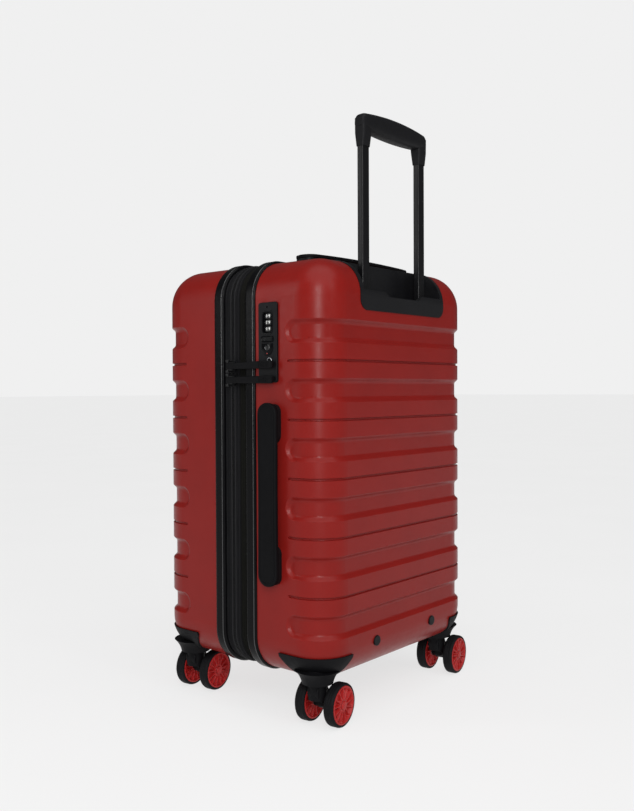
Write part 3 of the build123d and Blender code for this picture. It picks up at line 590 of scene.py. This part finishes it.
dial_z = [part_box(f"lock_dial_{i}") for i in (1, 2, 3)]
window_mid = (dial_z[0][1].z + dial_z[2][0].z) / 2
window_height = dial_z[0][1].z - dial_z[2][0].z + 0.0012


def rim(name, width, height, z, lip):
    """Raised rim round an opening of this size in the plate."""
    steps = ((0, -0.0012), (0, 0.0003), (0.35, 0.0007), (0.8, 0.0006), (1, -0.0006))
    rings = [on_face(outline(width + 2 * lip * k, height + 2 * lip * k), z, out) for k, out in steps]
    v, f, u = loft(rings, caps=False)
    piece(name, v, f, TRIM, "root", uvs=u)


WINDOW_WIDTH, WINDOW_LIP = 0.0138, 0.0022
rim("lock_window_frame", WINDOW_WIDTH, window_height + WINDOW_LIP, window_mid, WINDOW_LIP)

# raised panel round the key cylinder, round at its foot
release_lo, release_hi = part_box("lock_release")
key_lo, key_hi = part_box("lock_cylinder")
key_z = (key_lo.z + key_hi.z) / 2
panel_top, panel_low, panel_half = release_lo.z - 0.0026, key_z - 0.011, 0.0092
rim("lock_release_frame", release_hi.y - release_lo.y + 0.001, release_hi.z - release_lo.z + 0.001,
    (release_lo.z + release_hi.z) / 2, 0.0011)


def panel_outline(shrink):
    points = [(panel_half - shrink, panel_top - shrink), (-panel_half + shrink, panel_top - shrink)]
    r = panel_half - shrink
    for k in range(25):
        t = math.pi + math.pi * k / 24
        points.append((r * math.cos(t), panel_low + panel_half + r * math.sin(t) * 0.9))
    return points


def panel_ring(shrink, out):
    return [(FACE + out, LOCK_Y + a, z) for a, z in panel_outline(shrink)]


KEY_HOLE = 0.0042
HOLE_POINTS = 27  # as many as the panel's outline has
hole = []
for k in range(HOLE_POINTS):
    t = math.pi * 0.25 + 2 * math.pi * k / HOLE_POINTS
    hole.append((KEY_HOLE * math.cos(t), key_z + KEY_HOLE * math.sin(t)))
hole_ring = [[(FACE + out, LOCK_Y + a, z) for a, z in hole] for out in (0.0006, -0.0006)]
rings = [panel_ring(0, -0.0005), panel_ring(0, 0.0003), panel_ring(0.0004, 0.0006)] + hole_ring
v, f, u = loft(rings, caps=False)
piece("lock_key_panel", v, f, TRIM, "root", uvs=u)

key_face = Matrix.Translation((FACE, LOCK_Y, key_z)) @ Matrix.Rotation(math.pi / 2, 4, "Y")
ring_profile = [(0.0031, -0.0004), (0.0037, -0.0004), (0.00375, 0.0004), (0.0034, 0.0008), (0.0031, 0.0005)]
v, f, u = lathe(ring_profile, key_face, 40)
piece("lock_key_ring", v, f, EDGE_HIGHLIGHT_BLACK, "lock_cylinder", uvs=u)

dot = Matrix.Translation((FACE, LOCK_Y, key_z - 0.0073)) @ Matrix.Rotation(math.pi / 2, 4, "Y")
dot_profile = [(AXIS, 0.0003), (AXIS, 0.0008), (0.0005, 0.00078), (0.0008, 0.0004), (0.0008, 0.0003)]
v, f, u = lathe(dot_profile, dot, 24)
piece("lock_indicator", v, f, MARK, "root", uvs=u)

# grooves across the release button
parts = []
for k in (-1, 0, 1):
    y = LOCK_Y - 0.004 + k * 0.0016
    ridge = [[(release_hi.x - 0.0002 + a, y + b, z) for a, b in superellipse(0.0004, 0.0004, 2, 8)]
             for z in (release_lo.z + 0.001, release_hi.z - 0.001)]
    parts.append(loft(ridge))
v, f, u = joined(*parts)
piece("lock_release_ridges", v, f, TRIM, "lock_release", uvs=u)

# wire hook on the plate, over the end of the upper pull
pull_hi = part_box("zip_pull_upper")[1]
HOOK_R = 0.0034
hook_y, hook_z = pull_hi.y - 0.009, pull_hi.z + 0.0006
rings = []
for k in range(25):
    t = math.pi * k / 24
    out = Vector((0, math.cos(t), math.sin(t)))
    centre = Vector((FACE + 0.0009, hook_y, hook_z)) + out * HOOK_R
    rings.append([centre + out * a + Vector((b, 0, 0)) for a, b in superellipse(0.0006, 0.0006, 2, 10)])
v, f, u = loft(rings)
piece("keeper_hook", v, f, STEEL, "root", uvs=u)


# ---- zip pulls and slider fittings ---------------------------------------------------------------
PULL_RIBS = 6
PULL_RIB_PITCH = 0.0028
UPPER_PULL_SLOPE = 0.015
SLIDER_RING_R, RING_WIRE_R = 0.0024, 0.0005
for which in ("upper", "lower"):
    lo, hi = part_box(f"zip_pull_{which}")
    z, half, x = (lo.z + hi.z) / 2, (hi.z - lo.z) / 2, (lo.x + hi.x) / 2
    thick = (hi.x - lo.x) / 2 - 0.0003
    slope = UPPER_PULL_SLOPE if which == "upper" else 0.0
    rings = []
    # places along the pull, each with its share of the full width
    stations = [
        (lo.y + 0.0002, 0.55), (lo.y + 0.0008, 0.8), (lo.y + 0.003, 0.92), (lo.y + 0.009, 0.86),
        (lo.y + 0.016, 0.8), (lo.y + 0.03, 0.88), (hi.y - 0.018, 0.97), (hi.y - 0.006, 1.0),
        (hi.y - 0.0022, 0.97), (hi.y - 0.0006, 0.85), (hi.y, 0.66),
    ]
    for y, k in stations:
        rise = slope * (y - lo.y)
        rings.append([(x + a, y, z + rise + b)
                      for a, b in superellipse(thick * (0.82 + 0.18 * k), half * k, 5, 28)])
    v, f, u = loft(rings)
    piece(f"pull_tab_{which}", v, f, PULL, f"pull_{which}", [f"zip_pull_{which}"], uvs=u)
    # grip ribs
    parts = []
    for k in range(PULL_RIBS):
        y = hi.y - 0.008 - k * PULL_RIB_PITCH
        middle = z + slope * (y - lo.y)
        section = superellipse(0.00045, 0.0006, 2, 8)
        rib = [[(x + thick + 0.0001 + a, y + b, middle + end * half * 0.6) for a, b in section]
               for end in (-1, 1)]
        parts.append(loft(rib))
    v, f, u = joined(*parts)
    piece(f"pull_ribs_{which}", v, f, PULL, f"pull_{which}", uvs=u)
    # dark wire rings at the pivot
    turns = [k * math.pi / 4 for k in range(8)]
    wire = [(SLIDER_RING_R + RING_WIRE_R * math.cos(t), RING_WIRE_R * math.sin(t)) for t in turns]
    for side, end in ((-1, "foot"), (1, "top")):
        place = Matrix.Translation((x, CHAIN_Y, z + side * (half + 0.0027)))
        v, f, u = lathe(wire, place, 28)
        piece(f"slider_ring_{which}_{end}", v, f, TEETH, f"slider_{which}", uvs=u)


# ---- carry handles -------------------------------------------------------------------------------
POST_DEPTH = 0.0075  # how far a strap's posts reach below the case's surface
STRAP_WIDTH = 0.03
EDGE_INSET = 0.0032


def carry_handle(name, place, length, width, thick, gap, arch, waist):
    """Moulded strap along x of the place matrix, over its z = 0, with its posts and a raised edge line."""
    body_rings = []
    half, end_r = length / 2, width / 2
    xs = [-half + end_r * (1 - math.cos(math.pi / 2 * k / 16)) for k in range(17)]
    xs += [-half + end_r + (length - 2 * end_r) * k / 40 for k in range(1, 40)]
    xs += [-x for x in reversed(xs[:17])]
    for x in xs:
        t = abs(x) / half
        inset = max(0.0, (end_r - (half - abs(x))) / end_r)
        w = end_r * math.sqrt(max(0.0, 1 - inset ** 2.3))
        w *= 1 - waist * (1 - t * t) ** 2
        w = max(w, 0.0012)
        lift = arch * (1 - t * t)
        h = thick / 2 * (0.62 + 0.38 * math.sqrt(max(0.0, 1 - inset ** 3)))
        mid = gap + thick / 2 + lift
        body_rings.append([place @ Vector((x, b, mid + a)) for a, b in superellipse(h, w, 5.5, 36)])
    parts = [loft(body_rings)]
    post_x = half - 0.025
    for side in (-1, 1):
        foot = place @ Matrix.Translation((side * post_x, 0, -POST_DEPTH))
        post_top = POST_DEPTH + gap + 0.001
        post = [(AXIS, 0), (0.0036, 0), (0.004, 0.0004), (0.004, post_top), (AXIS, post_top)]
        parts.append(lathe(post, foot, 28))
    v, f, u = joined(*parts)
    body = name.replace("_strap_form", "")
    piece(name, v, f, RUBBER, body, [name.replace("_form", "")], uvs=u)
    # raised line inset from the edge
    line = []
    count = 150
    along = half - EDGE_INSET
    across = end_r - EDGE_INSET
    straight = along - across
    perimeter = 4 * straight + 2 * math.pi * across
    for k in range(count):
        s = perimeter * k / count
        if s < 2 * straight:
            x, y = -straight + s, across
        elif s < 2 * straight + math.pi * across:
            a = math.pi / 2 - (s - 2 * straight) / across
            x, y = straight + across * math.cos(a), across * math.sin(a)
        elif s < 4 * straight + math.pi * across:
            x, y = straight - (s - 2 * straight - math.pi * across), -across
        else:
            a = -math.pi / 2 - (s - 4 * straight - math.pi * across) / across
            x, y = -straight + across * math.cos(a), across * math.sin(a)
        r = abs(x) / half
        y *= 1 - waist * (1 - r * r) ** 2
        line.append((x, y, gap + thick + arch * (1 - r * r)))
    rings = []
    for k, (x, y, z) in enumerate(line):
        ax, ay, _ = line[k - 1]
        bx, by, _ = line[(k + 1) % count]
        d = Vector((bx - ax, by - ay, 0)).normalized()
        side = Vector((d.y, -d.x, 0))
        centre = Vector((x, y, z))
        rings.append([place @ (centre + side * a + Vector((0, 0, b - 0.0001)))
                      for a, b in superellipse(0.0005, 0.00035, 2, 8)])
    v, f, u = loft(rings, path_closed=True)
    piece(name.replace("strap_form", "edge_line"), v, f, RUBBER, body, uvs=u)


side_lo, side_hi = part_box("side_handle_strap")
top_lo, top_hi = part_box("top_handle_strap")
side_middle = (HALF_W, (side_lo.y + side_hi.y) / 2, (side_lo.z + side_hi.z) / 2)
top_middle = ((top_lo.x + top_hi.x) / 2, (top_lo.y + top_hi.y) / 2, CASE_TOP)
side_place = axes(side_middle, (0, 0, 1), (0, 1, 0), (1, 0, 0))
top_place = axes(top_middle, (1, 0, 0), (0, 1, 0), (0, 0, 1))
STRAP = side_hi.z - side_lo.z
carry_handle("side_handle_strap_form", side_place, STRAP, STRAP_WIDTH, 0.0062, 0.0061, 0.0, 0.05)
carry_handle("top_handle_strap_form", top_place, STRAP, STRAP_WIDTH, 0.005, 0.0045, 0.0026, 0.04)


# ---- casters -------------------------------------------------------------------------------------
def wheel_place(corner, outer):
    """Matrix whose z axis is the wheel's own axis, outwards, at the wheel's inner face."""
    sx = 1 if corner.endswith("right") else -1
    sy = 1 if corner.startswith("back") else -1
    turned = Matrix.Translation((sx * SWIVEL[0], sy * SWIVEL[1], 0)) @ Matrix.Rotation(CASTER_TURN, 4, "Z")
    away = sy if outer else -sy
    origin = turned @ Vector((-TRAIL, away * WHEEL_IN, WHEEL_R))
    z = (turned.to_3x3() @ Vector((0, away, 0))).normalized()
    x = Vector((0, 0, 1))
    return axes(origin, x, z.cross(x), z)


SPOKE_WIDTH = 0.0021
SLOT_START, SLOT_END, SLOT_DEPTH = 0.0072, 0.0207, 0.0036


def hub_part():
    """Hub with sunburst slots in both faces; z runs from the inner face to the outer one."""
    radii = [0.0031, 0.0052, 0.0062, 0.0068, 0.0076, 0.0084, 0.0105, 0.013,
             0.0155, 0.0182, 0.0194, 0.02, 0.0206, 0.0213, 0.0222, HUB_R]
    turns = 192
    rings = []
    for k in range(turns):
        t = 2 * math.pi * k / turns
        near = []
        for r in radii:
            spoke = SPOKE_WIDTH / r / 2
            phase = abs((t * SPOKES / (2 * math.pi)) % 1 - 0.5) * 2 * math.pi / SPOKES
            edge = (math.pi / SPOKES - spoke - phase) * r
            inside, outside = (r - SLOT_START) / 0.0011, (SLOT_END - r) / 0.0009
            slot = between(edge / 0.0009 + 0.5) * between(inside) * between(outside)
            raised = 0.0005 if 0.0208 < r < 0.0225 else 0.0
            near.append((r, SLOT_DEPTH * slot + 0.0005 - raised + 0.0006 * max(0, (0.0068 - r) / 0.003)))
        ring = [(r, WHEEL_WIDTH - h) for r, h in near] + [(r, h) for r, h in reversed(near)]
        rings.append([(r * math.cos(t), r * math.sin(t), h) for r, h in ring])
    return loft(rings, path_closed=True)


TREAD_STEPS, TREAD_GROOVES, TREAD_DIP = 16, (5, 11), 0.00035


def tyre_part():
    """Tyre with rounded shoulders and two shallow grooves in its tread."""
    profile = [
        (HUB_R, 0.0009), (HUB_R + 0.0005, 0.0004), (WHEEL_R - 0.0016, 0.0004),
        (WHEEL_R - 0.0007, 0.0011), (WHEEL_R - 0.0001, 0.0026),
    ]
    grooved = []
    for k in range(TREAD_STEPS + 1):
        h = 0.0032 + (WHEEL_WIDTH - 0.0064) * k / TREAD_STEPS
        dip = TREAD_DIP if k in TREAD_GROOVES else 0.0
        grooved.append((WHEEL_R - dip, h))
    profile = profile + grooved + [(r, WHEEL_WIDTH - h) for r, h in reversed(profile)]
    profile += [(HUB_R - 0.0004, WHEEL_WIDTH - 0.002), (HUB_R - 0.0004, 0.002)]
    return lathe(profile, Matrix.Identity(4), 112)


def cap_part():
    """Small domed cap over the axle's end."""
    profile = [
        (AXIS, WHEEL_WIDTH - 0.0006), (0.0050, WHEEL_WIDTH - 0.0006), (0.0052, WHEEL_WIDTH - 0.0003),
        (0.0046, WHEEL_WIDTH + 0.0005), (0.0025, WHEEL_WIDTH + 0.0009), (AXIS, WHEEL_WIDTH + 0.001),
    ]
    return lathe(profile, Matrix.Identity(4), 40)


hub_form, tyre_form, cap_form = hub_part(), tyre_part(), cap_part()
for corner in ("back_right", "back_left", "front_right", "front_left"):
    for which in ("outer", "inner"):
        place = wheel_place(corner, which == "outer")
        wheel = f"{corner}_{which}"
        for form_name, form, material, slot, replaced in (
            ("hub_form", hub_form, HUB, "hub_red", [f"hub_{wheel}"]),
            ("tyre_form", tyre_form, TYRE, "tyre_black", [f"tyre_{wheel}"]),
            ("hub_cap", cap_form, HUB, "hub_red", ()),
        ):
            v, f, u = copies(form, [place])
            piece(f"{form_name}_{wheel}", v, f, material, f"wheel_{wheel}", replaced, uvs=u)


# ---- telescopic handle ---------------------------------------------------------------------------
button_lo, button_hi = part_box("release_button")
b_mid = (button_lo + button_hi) / 2
rings = []
button_outline = superellipse((button_hi.x - button_lo.x) / 2, (button_hi.y - button_lo.y) / 2, 5, 44)
button_levels = (
    (button_lo.z, 0.94), (button_hi.z - 0.0016, 1.0),
    (button_hi.z - 0.0006, 0.97), (button_hi.z - 0.0001, 0.88),
)
for h, k in button_levels:
    rings.append([(b_mid.x + a * k, b_mid.y + b * (k * k), h) for a, b in button_outline])
v, f, u = loft(rings)
piece("release_button_form", v, f, GRIP, "release_button", ["release_button"], uvs=u)
parts = []
for k in range(-2, 3):
    x = b_mid.x + k * 0.0034
    section = superellipse(0.0006, 0.0005, 2, 10)
    rib = [[(x + a, b_mid.y + end * 0.003, button_hi.z - 0.0002 + b) for a, b in section] for end in (-1, 1)]
    parts.append(loft(rib))
v, f, u = joined(*parts)
piece("release_button_ribs", v, f, GRIP, "release_button", uvs=u)


# ---- grip ----------------------------------------------------------------------------------------
GRIP_HALF = 71 * MM
GRIP_TOP = 746 * MM
BAR_LOW = 721 * MM
SOCKET_LOW = 702 * MM
SHOULDER = 63 * MM
CROWN = 4 * MM
END_DROP = 11 * MM
UNDER_ARCH = 3 * MM
BAR_STEPS = 30
SHORT_OF_END = 0.9995  # keeps the last sections just inside the grip's ends


def bar_section(x):
    """Ring of the grip's crowned bar, fuller in the middle and round at its ends."""
    r = abs(x)
    past = between((r - SHOULDER) / (GRIP_HALF - SHOULDER))
    top = GRIP_TOP - CROWN * min(1.0, r / SHOULDER) ** 2 - END_DROP * (1 - math.sqrt(1 - past ** 2))
    low = BAR_LOW - 2 * MM + UNDER_ARCH * min(1.0, r / SHOULDER) ** 2 + 4 * MM * past ** 2
    half = (10.5 - 2.5 * (r / GRIP_HALF) ** 2) * MM * math.sqrt(1 - 0.5 * past ** 2)
    return [(x, b_mid.y + a, (top + low) / 2 + b) for a, b in superellipse(half, (top - low) / 2, 3.4, 36)]


def leg_section(side, z):
    """Ring of a socket, which narrows down to its tube."""
    up = (z - SOCKET_LOW) / (GRIP_TOP - 10 * MM - SOCKET_LOW)
    outer = (69.5 + 1.3 * up) * MM
    inner = (53.5 - 2.5 * up - 9 * max(0.0, up - 0.4) ** 2) * MM
    half = (5.9 + 2.1 * min(1.0, up * 2.2)) * MM
    middle = side * (outer + inner) / 2
    return [(middle + a, b_mid.y + b, z) for a, b in superellipse((outer - inner) / 2, half, 4.5, 36)]


bar = [bar_section(GRIP_HALF * math.sin(math.pi / 2 * k / BAR_STEPS) * SHORT_OF_END)
       for k in range(-BAR_STEPS, BAR_STEPS + 1)]
parts = [loft(bar)]
for side in (-1, 1):
    parts.append(loft([leg_section(side, z) for z in np.linspace(SOCKET_LOW, GRIP_TOP - 10 * MM, 16)]))
v, f, u = joined(*parts)
piece("handle_grip_form", v, f, GRIP, "upper_stage", ["handle_grip"], uvs=u)


# ---- linings -------------------------------------------------------------------------------------
LINING_IN = 0.0102
LINING_CORNER = 0.038
LINING_STEP = 0.006
LINING_POINTS = 288
SOCKET_R, SOCKET_BLEND = 0.034, 0.012
TRAY_BLEND = 0.009
SOCKET_COVER = 0.0795  # height of the cloth over the caster sockets
CLOSING_ROWS = 18


def lining(name, body, node_name, side, rim_y, floor_y):
    """Cloth that follows the inside of a half, over the caster sockets and the tray's box."""
    corner = LINING_CORNER
    straight = int(abs(floor_y - rim_y - side * corner) / LINING_STEP) + 1
    depths = [rim_y + side * k * LINING_STEP for k in range(straight)]
    profile = [(LINING_IN, y) for y in depths]
    for k in range(1, 9):
        t = math.pi / 2 * k / 8
        profile.append((LINING_IN + corner * (1 - math.cos(t)), floor_y - side * corner * (1 - math.sin(t))))
    rings = []
    for into, y in profile:
        rings.append([case_point(LENGTH * k / LINING_POINTS, -into, y) for k in range(LINING_POINTS)])
    edge = rings[-1]
    for k in range(1, CLOSING_ROWS + 1):
        scale = 1 - k / (CLOSING_ROWS + 0.01)  # the last row all but meets in the middle
        rings.append([(x * scale, y, MID_Z + (z - MID_Z) * scale) for x, y, z in edge])
    tray_lo, tray_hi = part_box("handle_tray")
    moved = []
    for ring in rings:
        new = []
        for x, y, z in ring:
            # slack cloth
            y += 0.0007 * noise.noise(Vector((x * 18, y * 18, z * 18)))
            x += 0.0006 * noise.noise(Vector((x * 16, y * 16, z * 16 + 7)))
            # over the caster sockets
            gap = math.hypot(abs(x) - SWIVEL[0], abs(y) - SWIVEL[1])
            near = between((SOCKET_R - gap) / SOCKET_BLEND)
            near = near * near * (3 - 2 * near)
            if z < SOCKET_COVER:
                z += (SOCKET_COVER - z) * near
            # over the box under the telescopic handle
            if side > 0:
                across = between((tray_hi.x + 0.011 - abs(x)) / TRAY_BLEND)
                up = between((z - tray_lo.z + 0.013) / TRAY_BLEND)
                over = across * across * (3 - 2 * across) * up * up * (3 - 2 * up)
                limit = tray_lo.y - 0.0035
                if y > limit:
                    y += (limit - y) * over
            new.append((x, y, z))
        moved.append(new)
    v, f, u = loft(moved, caps=False)
    piece(name, v, f, LINING, body, [node_name], uvs=u)


lining_lo, lining_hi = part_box("lining_back")
lining("lining_back_cloth", "root", "lining_back", 1, lining_lo.y + 0.0005, lining_hi.y - 0.0014)
lining_lo, lining_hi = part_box("lining_front")
lining("lining_front_cloth", "front_half", "lining_front", -1, lining_hi.y - 0.0005, lining_lo.y + 0.0014)

# seam tape that covers each lining's edge
for name, body, y0, y1 in (
    ("lining_seam_back", "root", BAND_BACK - TRIM_DEPTH + 0.0025, BAND_BACK + 0.004),
    ("lining_seam_front", "front_half", BAND_FRONT - 0.004, BAND_FRONT + TRIM_DEPTH - 0.0025),
):
    v, f, u = band(oblong(-0.0112, -0.0082, y0, y1, 6, 20), step=0.006)
    piece(name, v, f, WEBBING, body, uvs=u)

# packing straps over the back half, with their buckle, and a zip across the front half's lining
STRAP_Y = BAND_BACK + 0.006


def ribbon(points, width_axis, width, thick):
    """Flat strap through these points."""
    rings = []
    axis = Vector(width_axis)
    for i, p in enumerate(points):
        ahead = Vector(points[min(i + 1, len(points) - 1)]) - Vector(points[max(i - 1, 0)])
        normal = ahead.cross(axis).normalized()
        side = normal.cross(ahead).normalized()
        section = superellipse(width / 2, thick / 2, 8, 16)
        rings.append([Vector(p) + side * a + normal * b for a, b in section])
    return loft(rings)


inner_half_x = HALF_W - LINING_IN
STRAP_LOW, STRAP_HIGH, BUCKLE_Z = 0.2, 0.44, 0.32
WEB_WIDTH, WEB_THICK = 0.024, 0.0012
WEB_STEPS = 40
parts = []
for start_z, end_z in ((STRAP_LOW, STRAP_HIGH), (STRAP_HIGH, STRAP_LOW)):
    points = []
    for k in range(WEB_STEPS + 1):
        t = k / WEB_STEPS
        x = -inner_half_x + 2 * inner_half_x * t
        sag = 0.012 * math.sin(math.pi * t)
        over = WEB_THICK if start_z < end_z else -WEB_THICK
        points.append((x, STRAP_Y + 0.004 + sag + over, start_z + (end_z - start_z) * t))
    parts.append(ribbon(points, (0, 0, 1), WEB_WIDTH, WEB_THICK))
v, f, u = joined(*parts)
piece("packing_straps", v, f, WEBBING, "root", uvs=u)
buckle = []
buckle_outline = superellipse(0.024, 0.019, 5, 48)
for y, k in ((0.0, 0.9), (0.0016, 1.0), (0.0056, 1.0), (0.0072, 0.9)):
    buckle.append([(a * k, STRAP_Y + 0.0125 + y, BUCKLE_Z + b * k) for a, b in buckle_outline])
v, f, u = loft(buckle)
piece("packing_buckle", v, f, PLASTIC, "root", uvs=u)

pocket_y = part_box("lining_front")[0].y + 0.0033
POCKET_Z = 0.43
POCKET_HALF = 0.118
POCKET_TEETH_HALF = 0.114
POCKET_TOOTH_PITCH = 0.0017
pocket = [(x, pocket_y, POCKET_Z) for x in np.linspace(-POCKET_HALF, POCKET_HALF, 41)]
v, f, u = ribbon(pocket, (0, 0, 1), 0.026, 0.0014)
piece("pocket_zip_tape", v, f, TAPE, "front_half", uvs=u)
places = []
for x in np.arange(-POCKET_TEETH_HALF, POCKET_TEETH_HALF, POCKET_TOOTH_PITCH):
    places.append(axes((x, pocket_y + 0.0012, POCKET_Z), (1, 0, 0), (0, 0, 1), (0, -1, 0)))
v, f, u = copies(bead(0.0011, 0.0042, 0.0012), places)
piece("pocket_zip_teeth", v, f, TEETH, "front_half", uvs=u)


# ---- floor, light and camera ---------------------------------------------------------------------
FLOOR_GLOW = 0.715  # most of the floor's brightness is even, so its shadows stay faint
floor = Shade("pale_floor", Roughness=0.85, Specular_IOR_Level=0.0, Emission_Strength=FLOOR_GLOW)
floor.bsdf.inputs["Emission Color"].default_value = (1, 1, 1, 1)
FLOOR_DARK, FLOOR_LIGHT = srgb(118, 118, 118), srgb(121, 121, 121)
floor.colours(floor.noise(3, 2), (0.3, FLOOR_DARK), (0.7, FLOOR_LIGHT))
ground = bpy.data.meshes.new("floor")
SIZE = 60
ground_corners = [(-SIZE, -SIZE, 0), (SIZE, -SIZE, 0), (SIZE, SIZE, 0), (-SIZE, SIZE, 0)]
ground.from_pydata(ground_corners, [], [(0, 1, 2, 3)])
ground.materials.append(floor.material)
ground_object = bpy.data.objects.new("floor", ground)
bpy.context.scene.collection.objects.link(ground_object)

BACKDROP = (*srgb(240, 240, 240), 1)
FILL = 0.12  # light from all round, next to the backdrop's own brightness
world = bpy.data.worlds.new("studio")
bpy.context.scene.world = world
world.use_nodes = True
sky = world.node_tree
backdrop = sky.nodes["Background"]
backdrop.inputs["Color"].default_value = BACKDROP
fill = sky.nodes.new("ShaderNodeBackground")
fill.inputs["Color"].default_value = BACKDROP
fill.inputs["Strength"].default_value = FILL
seen = sky.nodes.new("ShaderNodeLightPath")
choose = sky.nodes.new("ShaderNodeMixShader")
sky.links.new(seen.outputs["Is Camera Ray"], choose.inputs[0])
sky.links.new(fill.outputs[0], choose.inputs[1])
sky.links.new(backdrop.outputs[0], choose.inputs[2])
sky.links.new(choose.outputs[0], sky.nodes["World Output"].inputs["Surface"])


def aimed(obj, place, target):
    obj.location = place
    obj.rotation_euler = (Vector(target) - Vector(place)).to_track_quat("-Z", "Y").to_euler()
    bpy.context.scene.collection.objects.link(obj)


def softbox(name, place, target, width, height, power):
    light = bpy.data.lights.new(name, "AREA")
    light.shape = "RECTANGLE"
    light.size, light.size_y = width, height
    light.energy = power
    aimed(bpy.data.objects.new(name, light), place, target)


MIDDLE = (0, 0, 0.3)
SUN_POWER = 1.72
SUN_SPREAD = math.radians(70)
sun = bpy.data.lights.new("overhead", "SUN")
sun.energy = SUN_POWER
sun.angle = SUN_SPREAD
aimed(bpy.data.objects.new("overhead", sun), (0.9, 1.2, 3.4), MIDDLE)
softbox("left_softbox", (1.6, -1.15, 1.1), MIDDLE, 0.4, 1.2, 6)
softbox("right_softbox", (0.4, 2.6, 1.6), MIDDLE, 0.3, 1.4, 7)
softbox("corner_strip", (1.21, 1.02, 0.84), (0.15, 0.13, 0.5), 0.22, 0.9, 13)

PHOTO_H = 811
FOCAL = 890.26
SENSOR = 36
camera_data = bpy.data.cameras.new("photo_camera")
camera_data.sensor_width = SENSOR
camera_data.lens = FOCAL / PHOTO_H * SENSOR
camera_data.clip_start, camera_data.clip_end = 0.01, 200
camera = bpy.data.objects.new("photo_camera", camera_data)
bpy.context.scene.collection.objects.link(camera)
YAW, PITCH, ROLL = 0.8741, 0.0174, -0.0046
CAMERA_AT = (0.9429, 0.7865, 0.4029)
ahead = Vector((-math.sin(YAW) * math.cos(PITCH), -math.cos(YAW) * math.cos(PITCH), -math.sin(PITCH)))
right = ahead.cross(Vector((0, 0, 1))).normalized()
up = right.cross(ahead)
rolled_right = right * math.cos(ROLL) + up * math.sin(ROLL)
rolled_up = up * math.cos(ROLL) - right * math.sin(ROLL)
camera.matrix_world = axes(CAMERA_AT, rolled_right, rolled_up, -ahead)
bpy.context.scene.camera = camera
bpy.context.scene.view_settings.view_transform = "Standard"
